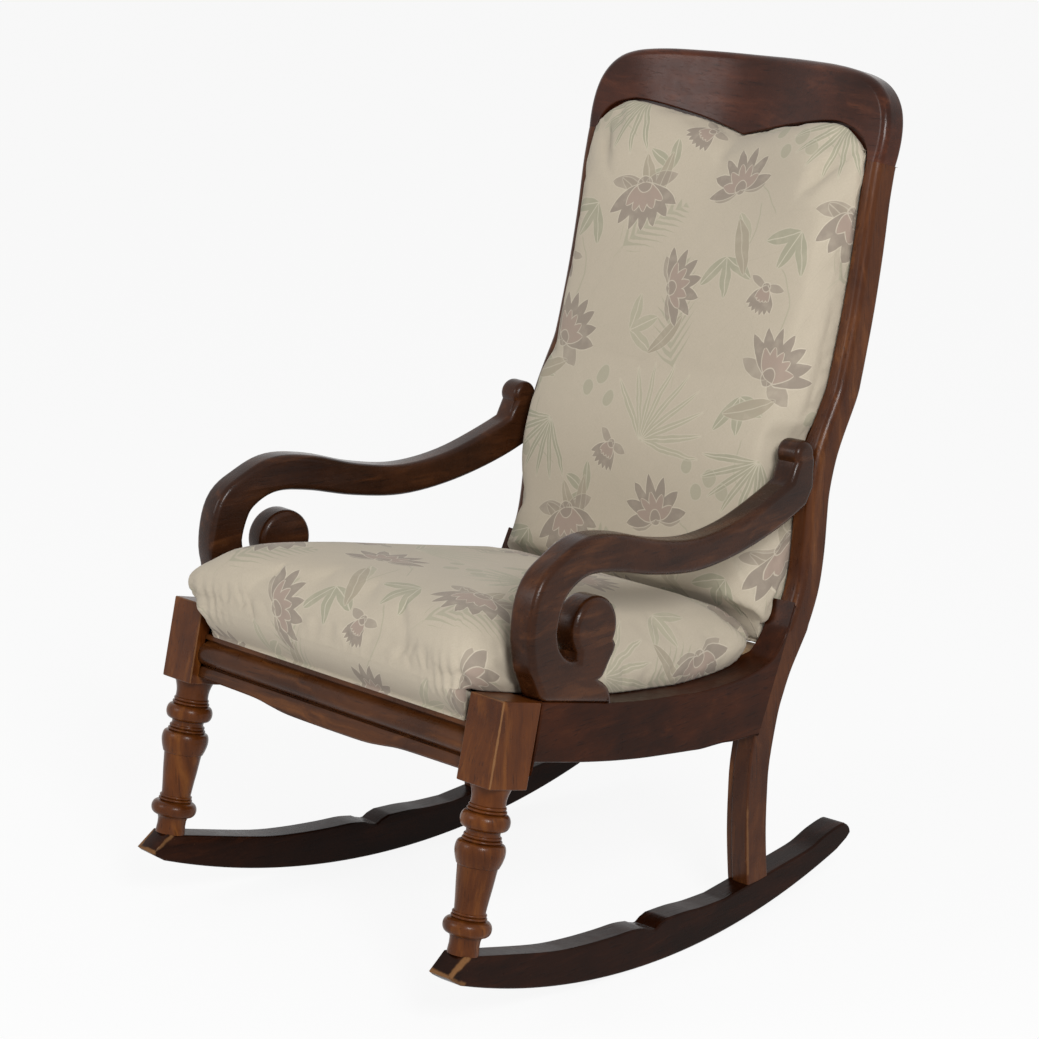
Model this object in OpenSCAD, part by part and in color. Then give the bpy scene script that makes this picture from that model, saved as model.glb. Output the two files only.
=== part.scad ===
// Upholstered rocking chair with scroll arms, on two bow rockers.
// Millimetres, +Z up. The chair faces -Y. Left and right are as seen from the front, so right is +X.
// The origin lies on the floor, under the middle of the chair's bounding box.

/* [Front legs] */
// Distance between the axes of the two front legs
front_leg_spacing = 512; // [490:1:530]
// Lean of the front legs, foot forward, and with it the slope of the seat frame
front_lean = 13.2; // [12:0.1:14.5]
// Height of the lowest turned ring above the floor
foot_ring_z = 120; // [114:1:126]
// Length of the turned part, from the rocker up to the block
leg_turned_len = 182; // [174:1:190]
// Diameter of the turned rings
leg_ring_d = 53; // [48:0.5:56]
// Width of the block above the turning
block_w = 52; // [48:1:56]
// Depth of the block, front to back
block_d = 55; // [52:1:58]
// Height of the block
block_h = 94; // [90:1:98]
// Diameter of the round tenons that stand in the rockers
tenon_d = 20; // [16:0.5:22]
// Length of the round tenons
tenon_len = 24; // [18:1:26]

/* [Rockers] */
// Radius of the lower edge
rocker_r = 935; // [900:5:970]
// Distance from the front leg's foot back to the floor contact
contact_y = 315; // [305:1:325]
// Reach ahead of the front leg's foot
rocker_front = 42; // [38:1:48]
// Reach behind the front leg's foot
rocker_rear = 635; // [615:1:655]
// Thickness of the plank
rocker_t = 34; // [32:1:38]
// Height of the plank in its middle
rocker_h = 46; // [42:0.5:50]

/* [Back posts] */
// Distance between the feet of the back posts, centre to centre
post_foot_spacing = 456; // [446:1:466]
// Distance between the tops of the back posts, centre to centre
post_top_spacing = 442; // [434:1:450]
// Thickness of the post, side to side
post_t = 34; // [32:1:36]
// Depth of the post, square to its curve
post_d = 34; // [32:1:37]
// Height of the joint between posts and crest rail
post_top_z = 860; // [845:1:880]
// Distance from the front leg's foot back to the top of the post
back_reach = 664; // [650:1:680]
// Radius of the post's outer front edge
post_round = 10; // [6:0.5:12]
// Width of the post's front face beside the arm
post_face_arm = 25; // [22:0.5:27]
// Width of the post's front face at the crest rail
post_face_top = 19; // [17:0.5:22]
// Depth of the step behind the front faces, which holds the back upholstery
rebate_d = 8; // [6:0.5:10]

/* [Crest rail] */
// Height of the crest rail above its joint
crest_h = 112.5; // [105:0.5:120]
// Backward tilt of the crest rail
crest_tilt = 15; // [14:0.2:16]
// Depth of the hollow across the crest rail
crest_dish = 26; // [16:1:30]
// Radius of the crest rail's back edge
crest_back_round = 6; // [3:0.5:8]

/* [Arms] */
// Thickness of the arm
arm_t = 34; // [30:1:36]
// Distance from the front leg's foot back to the front of the scroll
arm_front_y = 62; // [58:1:66]
// Length of the arm from the front of the scroll to the post
arm_len = 480; // [470:1:490]
// Height of the top of the scroll above the foot of the arm
arm_h = 165; // [158:1:172]
// Width of the sawn band of the arm
arm_band_w = 45; // [40:0.5:48]
// Radius of the volute
volute_r = 35; // [32:0.5:37]
// Radius of the roll at the arm's rear end
knob_r = 16.5; // [14:0.5:18]
// Radius of the arm's long edges
arm_round = 7; // [4:0.5:9]
// Inward run of the arm for each unit of its length
arm_toe = 0.0814; // [0.076:0.001:0.086]
// Overhang of the arm outside the side rail
arm_proud = 2; // [0:0.5:4]

/* [Seat frame] */
// Thickness of the side rails
side_rail_t = 44; // [38:1:48]
// Inward run of the side rail for each unit of its length
rail_toe = 0.09; // [0.086:0.001:0.094]
// Depth of the front rail, front to back
front_rail_t = 34; // [30:1:40]
// Setback of the front rail's lower moulding behind the blocks
front_rail_in = 12; // [8:1:14]
// Setback of the front rail's upper face, which carries the fabric
front_rail_face_in = 19; // [16:0.5:22]
// Thickness of the rear rail and of the lower back rail
cross_rail_t = 24; // [20:1:26]
// Length of the rails' tenons
rail_tenon_len = 18; // [14:1:20]
// Thickness of the rails' tenons
rail_tenon_t = 10; // [8:0.5:12]
// Length of the sides of the corner blocks
corner_block_side = 62; // [55:1:70]
// Height of the corner blocks
corner_block_h = 30; // [25:1:35]

/* [Upholstery] */
// Height of the seat's crown line at its front end, above the floor
seat_crown_front_z = 460; // [450:1:470]
// Height of the seat's crown line at its rear end, above the floor
seat_crown_rear_z = 369; // [360:1:376]
// Reach of the seat cushion between the back posts
seat_tuck = 24; // [18:1:28]
// Forward swell of the back pad at its fullest
back_swell = 56; // [48:1:62]
// Thickness of the fabric covers
cover_t = 1.6; // [1.2:0.1:2]
// Thickness of hessian and bottoming cloth
cloth_t = 1.2; // [1:0.1:1.5]
// Width of a webbing strap
web_w = 50; // [44:1:54]
// Thickness of a webbing strap
web_t = 2; // [1.6:0.1:2.4]
// Mean diameter of a seat spring
spring_d = 64; // [56:1:70]
// Diameter of the spring wire
wire_d = 3.2; // [2.8:0.1:3.6]

/* [Fasteners and clearances] */
// Diameter of the crest dowels
crest_dowel_d = 8; // [6:0.5:10]
// Diameter of the arm dowels
arm_dowel_d = 10; // [8:0.5:12]
// Length of a dowel
dowel_len = 36; // [30:1:40]
// Diameter of a corner block screw
screw_d = 4; // [3:0.5:5]
// Diameter of the screw's head
screw_head_d = 8; // [7:0.5:9]
// Length of a corner block screw
screw_len = 34; // [30:1:38]
// Clearance round tenons, dowels and screws
fit_gap = 0.1; // [0.05:0.05:0.2]
// Clearance round fabric and other soft layers
cloth_gap = 0.3; // [0.3:0.05:0.5]

/* [Hidden] */
$fn = 48;

// Colours of the finishes
mahogany = [0.26, 0.13, 0.07];
beech = [0.72, 0.56, 0.38];
steel = [0.55, 0.55, 0.57];
jute = [0.62, 0.5, 0.34];
hair = [0.35, 0.29, 0.24];
floral = [0.79, 0.74, 0.66];
lining = [0.12, 0.12, 0.12];

// One overrun serves every cut
over = block_d;

// A cubic curve through hand-picked points, with n steps from each point to the next
function between(a, b, c, d, t) =
    0.5 * (2 * b + (c - a) * t + (2 * a - 5 * b + 4 * c - d) * t * t
    + (3 * b - a - 3 * c + d) * t * t * t);
function curve(p, n) = concat([for (i = [0:len(p) - 2], k = [0:n - 1])
    between(p[max(i - 1, 0)], p[i], p[i + 1], p[min(i + 2, len(p) - 1)], k / n)],
    [p[len(p) - 1]]);
function sized(shares, sizes) =
    [for (p = shares) [for (i = [0:len(sizes) - 1]) p[i] * sizes[i]]];
function flip(list) = [for (i = [len(list) - 1:-1:0]) list[i]];
function smooth_step(t) = let(u = max(0, min(1, t))) u * u * (3 - 2 * u);
function mid(a, b, t) = a + (b - a) * t;

// Draws an outline of the side view, in Y and Z, and gives it a thickness along X
module side_view(thickness)
    rotate([90, 0, 90]) linear_extrude(thickness, center = true) children();

// Turns the right-hand piece into the left-hand one
module on_side(side)
    mirror([side > 0 ? 0 : 1, 0, 0]) children();

// A solid through a list of rings that have as many points each. Each end is closed by one flat
// face or, for an end that isn't convex, by a fan of triangles from a tip
module loft(rings, tips = []) {
    n = len(rings[0]);
    m = len(rings);
    fan = len(tips) > 0;
    polyhedron(points = concat([for (r = rings) each r], tips), faces = concat(
        fan ? [for (i = [0:n - 1]) [n * m, (i + 1) % n, i]] : [[for (i = [n - 1:-1:0]) i]],
        [for (j = [0:m - 2], i = [0:n - 1]) [j * n + i, j * n + (i + 1) % n, (j + 1) * n + i]],
        [for (j = [0:m - 2], i = [0:n - 1])
            [(j + 1) * n + i, j * n + (i + 1) % n, (j + 1) * n + (i + 1) % n]],
        fan ? [for (i = [0:n - 1]) [n * m + 1, (m - 1) * n + i, (m - 1) * n + (i + 1) % n]]
            : [[for (i = [0:n - 1]) (m - 1) * n + i]]));
}

// A thin sheet between two grids of points, closed round its edges
module sheet(front, back) {
    m = len(front);
    n = len(front[0]);
    f = function(i, j) i * n + j;
    b = function(i, j) m * n + i * n + j;
    polyhedron(points = concat([for (r = front) each r], [for (r = back) each r]), faces = concat(
        [for (i = [0:m - 2], j = [0:n - 2]) [f(i, j), f(i, j + 1), f(i + 1, j)]],
        [for (i = [0:m - 2], j = [0:n - 2]) [f(i + 1, j), f(i, j + 1), f(i + 1, j + 1)]],
        [for (i = [0:m - 2], j = [0:n - 2]) [b(i, j), b(i + 1, j), b(i, j + 1)]],
        [for (i = [0:m - 2], j = [0:n - 2]) [b(i + 1, j), b(i + 1, j + 1), b(i, j + 1)]],
        [for (j = [0:n - 2], t = [0, 1]) t == 0 ? [f(0, j), b(0, j), f(0, j + 1)]
            : [f(0, j + 1), b(0, j), b(0, j + 1)]],
        [for (j = [0:n - 2], t = [0, 1]) t == 0 ? [f(m - 1, j), f(m - 1, j + 1), b(m - 1, j)]
            : [f(m - 1, j + 1), b(m - 1, j + 1), b(m - 1, j)]],
        [for (i = [0:m - 2], t = [0, 1]) t == 0 ? [f(i, 0), f(i + 1, 0), b(i, 0)]
            : [f(i + 1, 0), b(i + 1, 0), b(i, 0)]],
        [for (i = [0:m - 2], t = [0, 1]) t == 0 ? [f(i, n - 1), b(i, n - 1), f(i + 1, n - 1)]
            : [f(i + 1, n - 1), b(i, n - 1), b(i + 1, n - 1)]]));
}

// Front leg: its axis passes through the lowest ring at y = 0 and leans back going up
leg_x = front_leg_spacing / 2;
foot_share = 0.165;
foot_drop = leg_turned_len * foot_share;
leg_top_s = leg_turned_len - foot_drop + block_h;
block_top_y = leg_top_s * sin(front_lean) - block_d / 2 * cos(front_lean);
block_top_z = foot_ring_z + leg_top_s * cos(front_lean) + block_d / 2 * sin(front_lean);
foot_y = -foot_drop * sin(front_lean);
foot_z = foot_ring_z - foot_drop * cos(front_lean);

// Places things in the seat frame: its origin is the blocks' front top edge, +Y runs back
// along the sloping seat and +Z stands square to it, parallel to the front legs
module in_seat_frame()
    translate([0, block_top_y, block_top_z]) rotate([-front_lean, 0, 0]) children();
// Height of the seat plane at a place y
function seat_plane_z(y) = block_top_z - (y - block_top_y) * tan(front_lean);
// A place in the side view, from its depth and height in the seat frame
function seat_yz(d, t) = [block_top_y + d * cos(front_lean) + t * sin(front_lean),
    block_top_z - d * sin(front_lean) + t * cos(front_lean)];

// Turned profile: [share of turned length, share of ring radius], beads added as half rounds
function bead(s0, s1, r0, r1) = [for (a = [0:30:180])
    [s0 + (s1 - s0) * (1 - cos(a)) / 2, r0 + (r1 - r0) * sin(a)]];
foot_shares = [[0, 0.65], [0.05, 0.625], [0.1, 0.65]];
shaft_shares = [[0.258, 0.65], [0.38, 0.74], [0.51, 0.82], [0.522, 0.83], [0.526, 0.885]];
collar_shares = [[0.535, 0.9], [0.575, 0.98], [0.615, 1.03], [0.645, 1.01], [0.66, 0.93]];
neck_shares = [[0.712, 0.7], [0.738, 0.72]];
cap_shares = [[0.888, 0.72], [0.93, 0.72], [0.97, 0.78], [1, 0.86]];
leg_profile_shares = concat(foot_shares, bead(0.115, 0.209, 0.7, 1), bead(0.212, 0.232, 0.66, 0.74),
    bead(0.234, 0.25, 0.66, 0.71), shaft_shares, collar_shares, bead(0.665, 0.687, 0.74, 0.82),
    bead(0.689, 0.71, 0.7, 0.77), neck_shares, bead(0.742, 0.841, 0.76, 1.02),
    bead(0.843, 0.863, 0.72, 0.81), bead(0.865, 0.886, 0.7, 0.77), cap_shares);
function leg_profile() = concat([[0, 0]],
    [for (p = leg_profile_shares) [p[1] * leg_ring_d / 2, p[0] * leg_turned_len]],
    [[leg_ring_d / 4, leg_turned_len + leg_ring_d / 4], [0, leg_turned_len + leg_ring_d / 4]]);

module leg_place()
    translate([leg_x, foot_y, foot_z]) rotate([-front_lean, 0, 0]) children();

module leg_tenon(gap)
    leg_place() translate([0, 0, -tenon_len - gap])
        cylinder(d = tenon_d + 2 * gap, h = tenon_len + 2 * gap);

module block_space(gap)
    in_seat_frame() translate([leg_x - block_w / 2 - gap, -gap, -block_h - gap])
        cube([block_w + 2 * gap, block_d + 2 * gap, block_h + 2 * gap]);

module front_leg() {
    color(mahogany) difference() {
        union() {
            leg_place() rotate_extrude() polygon(leg_profile());
            leg_tenon(0);
            block_space(0);
        }
        front_rail_tenon(fit_gap);
        side_rail_front_tenon(fit_gap);
    }
}

// Back post: its centre line in the side view, as shares of its height and of its reach
post_line_shares = [[0.0465, 0.6958], [0.128, 0.6905], [0.221, 0.6973], [0.285, 0.7169],
    [0.343, 0.7485], [0.3953, 0.7907], [0.4477, 0.8208], [0.5058, 0.8343], [0.5674, 0.8419],
    [0.6221, 0.8614], [0.6651, 0.8886], [0.7, 0.9127], [0.7465, 0.9307], [0.8105, 0.9518],
    [0.8837, 0.9714], [0.9477, 0.9849], [1, 1], [1.0407, 1.0143], [1.1337, 1.0467]];
post_line = curve(sized(post_line_shares, [post_top_z, back_reach]), 2);
// Place of the centre line, and the post's half depth measured level, at a height z
function post_y(z) = lookup(z, post_line);
slope_step = post_d / 4;
function post_slope(z) = (post_y(z + slope_step) - post_y(z - slope_step)) / (2 * slope_step);
function post_grow(z) = sqrt(1 + pow(post_slope(z), 2));
function post_half(z) = post_d / 2 * post_grow(z);
function post_front(z) = post_y(z) - post_half(z);
function post_back(z) = post_y(z) + post_half(z);
post_foot_z_share = 0.0565;
post_foot_z = post_top_z * post_foot_z_share;
post_foot_y = post_y(post_foot_z);
post_foot_x = post_foot_spacing / 2;
post_top_x = post_top_spacing / 2;
function post_x(z) = mid(post_foot_x, post_top_x, (z - post_foot_z) / (post_top_z - post_foot_z));
splay = atan((post_foot_x - post_top_x) / (post_top_z - post_foot_z));
// Heights at which the posts' rings lie
post_z_list = [for (p = post_line) if (p[0] < post_top_z + post_d) p[0]];
rebate_z_share = 0.392;
rebate_z = post_top_z * rebate_z_share;

// Section shared by posts and crest rail, as [distance in from the outer edge, depth place]:
// the outer edges are rounded, and the inner front edge steps back to hold the upholstery
function frame_section(face_w, full_w, depth, r_front, r_back, step) = concat(
    [for (a = [0:45:90]) [r_back * (1 - sin(a)), depth / 2 - r_back * (1 - cos(a))]],
    [for (a = [0:22.5:90]) [r_front - r_front * cos(a), -depth / 2 + r_front - r_front * sin(a)]],
    [[face_w, -depth / 2], [face_w, -depth / 2 + step], [full_w, -depth / 2 + step],
    [full_w, depth / 2]]);
arm_level_share = 0.58;
function post_face_w(z) = mid(post_face_top, post_face_arm,
    min(1, (post_top_z - z) / (post_top_z * (1 - arm_level_share))));
post_back_round = crest_back_round / 3;
no_step = rebate_d / 40;
function post_ring(z, step) = let(grow = post_grow(z), upper = z > rebate_z,
    s = frame_section(post_face_w(z), post_t, post_d, upper ? post_round : post_back_round,
        post_back_round, step))
    [for (p = s) [post_x(z) + post_t / 2 - p[0], post_y(z) + p[1] * grow, z]];

// The same post as a plain prism, grown by a gap: what the other pieces are cut back to
module post_space(gap)
    translate([post_foot_x, 0, post_foot_z]) rotate([0, -splay, 0]) translate([0, 0, -post_foot_z])
        side_view(post_t + 2 * gap) polygon(concat(
            [for (p = post_line) [post_front(p[0]) - gap, p[0]]],
            flip([for (p = post_line) [post_back(p[0]) + gap, p[0]]])));

// Everything behind the posts' front faces
module behind_posts()
    side_view(4 * leg_x) polygon(concat([for (p = post_line) [post_front(p[0]) - fit_gap, p[0]]],
        [[2 * back_reach, post_top_z], [2 * back_reach, 0]]));

// Everything beyond the post's inner face
module beyond_post()
    translate([post_foot_x, 0, post_foot_z]) rotate([0, -splay, 0])
        translate([-post_t / 2, 0, -post_foot_z]) cube([2 * leg_x, 2 * back_reach, 2 * post_top_z]);

module post_foot_place()
    translate([post_foot_x, post_foot_y, post_foot_z]) rotate([post_seat_a, 0, 0]) children();

module post_tenon(gap)
    post_foot_place() translate([0, 0, -tenon_len - gap])
        cylinder(d = tenon_d + 2 * gap, h = tenon_len + 2 * gap);

module crest_place()
    translate([0, back_reach, post_top_z]) rotate([-crest_tilt, 0, 0]) children();

module back_post() {
    lower = [for (z = post_z_list) if (z < rebate_z) post_ring(z, no_step)];
    upper = [for (z = post_z_list) if (z > rebate_z) post_ring(z, rebate_d)];
    color(mahogany) difference() {
        union() {
            difference() {
                loft(concat(lower, [post_ring(rebate_z, no_step),
                    post_ring(rebate_z + rebate_d / 8, rebate_d)], upper));
                post_foot_place() translate([-over, -over, -2 * over]) cube(2 * over);
            }
            post_tenon(0);
        }
        crest_place() translate([0, -over, 0]) cube([2 * post_foot_x, 2 * over, 2 * over]);
        side_rail_rear_tenon(fit_gap);
        rear_rail_tenon(fit_gap);
        lower_back_rail_tenon(fit_gap);
        crest_dowel_pair(fit_gap);
        arm_rear_dowel(fit_gap);
    }
}

// Rocker: it runs inwards from the front leg to the back post's foot
rocker_toe = atan((leg_x - post_foot_x) / (post_foot_y - foot_y));
// The lower edge is made of short chords, of which the middle one lies flat on the floor
rocker_chord = rocker_r / 39;
function sag(d) = rocker_r - sqrt(rocker_r * rocker_r - d * d);
function arc_z(y) = sag(y - contact_y) - sag(rocker_chord / 2);
function above_arc(y, h) = [y, arc_z(y) + h * rocker_h];
function along(shares) = curve([for (p = shares) above_arc(p[0] * rocker_rear, p[1])], 3);
// Upper edge, as shares of the rear reach and of the plank's height above the lower edge
front_top_shares = [[0.069, 0.826], [0.181, 0.859], [0.257, 0.904], [0.334, 0.967],
    [0.386, 1.01], [0.419, 0.978], [0.444, 0.86]];
middle_top_shares = [[0.474, 1.03], [0.524, 1], [0.573, 0.913], [0.635, 0.848]];
rear_top_shares = [[0.831, 0.739], [0.882, 0.707], [0.928, 0.674], [0.973, 0.587],
    [0.988, 0.48], [0.998, 0.32], [1, 0.16]];
// Tip under the slanted front face, as shares of the front reach and of the plank's height
tip_shares = [[-1, 0.19], [-0.9, 0.13], [-0.6, 0.075]];
under_start_share = -0.071;
under_end_share = 0.967;
under_y = [for (k = [-20:20]) let(y = contact_y + (k + 0.5) * rocker_chord)
    if (y > under_start_share * rocker_front + rocker_chord / 2
        && y < under_end_share * rocker_rear - rocker_chord / 2) y];
post_seat_a = asin((post_foot_y / cos(rocker_toe) - contact_y) / rocker_r);
leg_seat_shares = [-0.24, 0.44];
post_seat_share = 0.68;
seat_allowance = rocker_h / 60;
rocker_outline = concat(
    [for (p = tip_shares) above_arc(p[0] * rocker_front, p[1])],
    [above_arc(under_start_share * rocker_front, 0)],
    [for (y = under_y) above_arc(y, 0)],
    [above_arc(under_end_share * rocker_rear, 0)],
    flip(along(rear_top_shares)),
    flip([for (s = [-1, 1]) [post_foot_y / cos(rocker_toe) + s * post_seat_share * post_d,
        post_foot_z + seat_allowance + s * post_seat_share * post_d * tan(post_seat_a)]]),
    flip(along(middle_top_shares)),
    flip(along(front_top_shares)),
    flip([for (s = leg_seat_shares) [foot_y + s * leg_ring_d * cos(front_lean),
        foot_z + seat_allowance - s * leg_ring_d * sin(front_lean)]]));

// The legs' flat feet stand on seats cut square to them
module rocker_seats() {
    leg_place() translate([-rocker_t, -leg_ring_d, 0])
        cube([2 * rocker_t, (1 + leg_seat_shares[1]) * leg_ring_d, rocker_h]);
    post_foot_place() translate([-over, -post_seat_share * post_d, 0])
        cube([2 * over, 2 * post_seat_share * post_d, rocker_h]);
}

module rocker() {
    color(mahogany) difference() {
        translate([leg_x, 0, 0]) rotate([0, 0, rocker_toe])
            side_view(rocker_t) polygon(rocker_outline);
        rocker_seats();
        leg_tenon(fit_gap);
        post_tenon(fit_gap);
    }
}

// Crest rail: outer and inner edges of its right half, in pairs, from the joint to the middle,
// as shares of its half width and of its height
crest_half_w = post_top_x + post_t / 2;
crest_outer_shares = [[1, 0], [1.006, 0.133], [1.006, 0.284], [0.996, 0.444], [0.97, 0.596],
    [0.924, 0.729], [0.861, 0.827], [0.78, 0.889], [0.68, 0.929], [0.546, 0.96], [0.408, 0.978],
    [0.273, 0.991], [0.139, 0.998], [0, 1]];
crest_inner_shares = [[0.9202, 0], [0.9097, 0.107], [0.8824, 0.196], [0.8487, 0.258],
    [0.807, 0.307], [0.756, 0.338], [0.706, 0.36], [0.651, 0.364], [0.58, 0.356], [0.483, 0.333],
    [0.378, 0.302], [0.26, 0.262], [0.134, 0.204], [0, 0.133]];
function half_dish(x) = 0.5 + 0.5 * cos(180 * min(1, abs(x) / (post_top_x - post_t / 2)));
function dish(x) = crest_dish * half_dish(x);
function crest_ring(o, i) = let(run = norm(i - o), u = (i - o) / run,
    s = frame_section(run, run + post_t - post_face_top, post_d, post_round, crest_back_round,
        rebate_d))
    [for (p = s) let(q = o + u * p[0]) [q[0], p[1] + dish(q[0]), q[1]]];

module crest_rail() {
    outer = curve(sized(crest_outer_shares, [crest_half_w, crest_h]), 2);
    inner = curve(sized(crest_inner_shares, [crest_half_w, crest_h]), 2);
    arch = [for (k = [0:len(outer) - 1]) crest_ring(outer[k], inner[k])];
    half = concat([[for (p = arch[0]) [p[0], p[1], p[2] - rebate_d]]], arch);
    other = [for (k = [len(half) - 2:-1:0]) [for (p = half[k]) [-p[0], p[1], p[2]]]];
    color(mahogany) difference() {
        crest_place() loft(concat(half, other));
        for (side = [-1, 1]) on_side(side) {
            crest_place() translate([0, -over, -2 * over]) cube([2 * post_foot_x, 2 * over, 2 * over]);
            crest_dowel_pair(fit_gap);
        }
    }
}

dowel_pitch_share = 0.25;
module crest_dowel_pair(gap)
    for (s = [-1, 1]) crest_place()
        translate([post_top_x + s * dowel_pitch_share * post_t, rebate_d / 4, -dowel_len / 2 - gap])
            cylinder(d = crest_dowel_d + 2 * gap, h = dowel_len + 2 * gap);

module crest_dowels()
    color(beech) for (side = [-1, 1]) on_side(side) crest_dowel_pair(0);

// Arm: centre line and width of the sawn band, as shares of arm length, arm height and band width
arm_line_shares = [[0.069, 0.194, 1.09], [0.047, 0.409, 1], [0.07, 0.673, 1.07],
    [0.124, 0.803, 0.93], [0.2, 0.873, 0.945], [0.302, 0.836, 0.93], [0.434, 0.733, 0.87],
    [0.577, 0.673, 0.83], [0.727, 0.709, 0.845], [0.882, 0.83, 0.93], [1.023, 0.994, 0.93]];
// Foot of the arm, as shares of arm length and arm height, and a place inside it
foot_shares_yz = [[0.06, -0.3], [0.052, -0.05], [0.03, 0.1], [0.012, 0.24], [0.03, 0.32],
    [0.07, 0.345], [0.1, 0.29], [0.123, 0.236], [0.15, 0.221], [0.182, 0.23], [0.21, 0.3],
    [0.25, 0.3], [0.285, 0.221], [0.267, 0.13], [0.244, 0.0485], [0.233, 0.033], [0.25, 0.003],
    [0.2625, -0.033], [0.271, -0.088], [0.275, -0.17], [0.28, -0.3]];
foot_middle_shares = [0.16, 0.06];
volute_place_shares = [0.219, 0.388];
knob_place_shares = [0.968, 1.161];
rail_y0 = block_top_y + block_d * cos(front_lean);
arm_level_y_share = 0.081;
arm_base_z = seat_plane_z(arm_front_y + arm_len * arm_level_y_share);
arm_x = leg_x + block_w / 2 + arm_proud - arm_t / 2;
arm_toe_y = rail_y0;
function arm_centre_x(y) = arm_x - (y - arm_toe_y) * arm_toe;
arm_end_z_share = 0.9;
arm_end_z = arm_base_z + arm_h * arm_end_z_share;
arm_end_y = post_front(arm_end_z);

function arm_point(p) = [arm_front_y + p[0] * arm_len, arm_base_z + p[1] * arm_h];
module arm_place()
    translate([arm_x, arm_toe_y, 0]) rotate([0, 0, atan(arm_toe)]) translate([0, -arm_toe_y, 0])
        children();

// Rings across the band: rectangles with rounded long edges, square to the centre line
arm_line = curve([for (p = arm_line_shares) concat(arm_point(p), [p[2] * arm_band_w])], 3);
corner_signs = [[1, 1, 0], [-1, 1, 90], [-1, -1, 180], [1, -1, 270]];
function arm_ring(p, n) = let(r = arm_round, a = arm_t / 2 - r, b = p[2] / 2 - r)
    [for (c = corner_signs, t = [0:30:90]) let(u = c[0] * a + r * cos(c[2] + t),
        v = c[1] * b + r * sin(c[2] + t)) [u, p[0] - n[1] * v, p[1] + n[0] * v]];
arm_last = len(arm_line) - 1;
arm_rings = [for (k = [0:arm_last]) let(d = arm_line[min(k + 1, arm_last)]
    - arm_line[max(k - 1, 0)]) arm_ring(arm_line[k], [d[0], d[1]] / norm([d[0], d[1]]))];

// Outline moved inwards by e. The outline runs clockwise, and sharp corners move no further
// than twice that
function inset_outline(o, e) = let(n = len(o)) [for (i = [0:n - 1])
    let(a = o[(i + n - 1) % n], b = o[i], c = o[(i + 1) % n],
        p = (b - a) / norm(b - a), q = (c - b) / norm(c - b),
        u = [p[1], -p[0]], v = [q[1], -q[0]])
    b + (u + v) / max(1 + u * v, 0.6) * e];
ease_shares = [[1, 0], [0.3, 0.3], [0, 1]];

// A board in the side view with its long edges rounded, closed by fans from its middle c
module eased_board(o, c, t, r) {
    half = [for (p = ease_shares) [-t / 2 + p[1] * r, p[0] * r]];
    rings = concat(half, [for (k = [len(half) - 1:-1:0]) [-half[k][0], half[k][1]]]);
    loft([for (g = rings) [for (q = inset_outline(o, g[1])) [g[0], q[0], q[1]]]],
        [[-t / 2, c[0], c[1]], [t / 2, c[0], c[1]]]);
}
// A disc of the same thickness with eased edges
module eased_disc(c, r, ease)
    translate([0, c[0], c[1]]) rotate([0, 90, 0]) rotate_extrude() polygon(concat([[0, -arm_t / 2]],
        [for (p = ease_shares) [r - p[0] * ease, p[1] * ease - arm_t / 2]],
        [for (p = flip(ease_shares)) [r - p[0] * ease, arm_t / 2 - p[1] * ease]],
        [[0, arm_t / 2]]));

module arm() {
    color(mahogany) difference() {
        arm_place() {
            loft(arm_rings);
            eased_board([for (p = foot_shares_yz) arm_point(p)], arm_point(foot_middle_shares),
                arm_t, arm_round);
            eased_disc(arm_point(volute_place_shares), volute_r, arm_round / 2);
            eased_disc(arm_point(knob_place_shares), knob_r, arm_round / 2);
        }
        in_seat_frame() translate([0, -over, -arm_h])
            cube([2 * leg_x, 2 * arm_len, arm_h]);
        behind_posts();
        arm_foot_dowels(fit_gap);
        arm_rear_dowel(fit_gap);
    }
}

// Dowels of the arm: two in its foot, into the side rail, and one at its rear, into the post
arm_dowel_shares = [0.1, 0.22];
module arm_foot_dowels(gap)
    for (s = arm_dowel_shares) let(y = arm_front_y + s * arm_len)
        translate([arm_centre_x(y), y, seat_plane_z(y)]) rotate([-front_lean, 0, 0])
            translate([0, 0, -dowel_len / 2 - gap])
                cylinder(d = arm_dowel_d + 2 * gap, h = dowel_len + 2 * gap);
module arm_rear_dowel(gap)
    translate([arm_centre_x(arm_end_y), arm_end_y - dowel_len / 2 - gap, arm_end_z])
        rotate([-90, 0, 0]) cylinder(d = arm_dowel_d + 2 * gap, h = dowel_len + 2 * gap);

module arm_dowels()
    color(beech) for (side = [-1, 1]) on_side(side) {
        arm_foot_dowels(0);
        arm_rear_dowel(0);
    }

// Side rail: upper and lower edge in the side view, as shares of the reach to the post and of
// the height of the seat plane at the block
seat_run = post_front(block_top_z * 0.78);
rail_straight_share = 0.422;
rail_top_shares = [[0.521, 0.867], [0.665, 0.842], [0.741, 0.83], [0.852, 0.826], [0.93, 0.831],
    [0.987, 0.845], [1.015, 0.861], [1.057, 0.916], [1.08, 0.968], [1.1, 1.03]];
rail_bottom_shares = [[0.05, 0.822], [0.15, 0.793], [0.243, 0.763], [0.38, 0.722],
    [0.523, 0.686], [0.669, 0.659], [0.743, 0.645], [0.819, 0.64], [0.876, 0.63], [0.998, 0.623],
    [1.1, 0.62]];
rail_bottom = curve(sized(rail_bottom_shares, [seat_run, block_top_z]), 3);
rail_straight_y = rail_straight_share * seat_run;
rail_sweep = curve(concat([[rail_straight_y, seat_plane_z(rail_straight_y)]],
    sized(rail_top_shares, [seat_run, block_top_z])), 3);
rail_top = concat([[0, seat_plane_z(0)]], rail_sweep);
function rail_top_z(y) = lookup(y, rail_top);
function rail_bottom_z(y) = lookup(y, rail_bottom);
rail_out_x = leg_x + block_w / 2;
function rail_outer_x(y) = rail_out_x - (y - rail_y0) * rail_toe;

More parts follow.
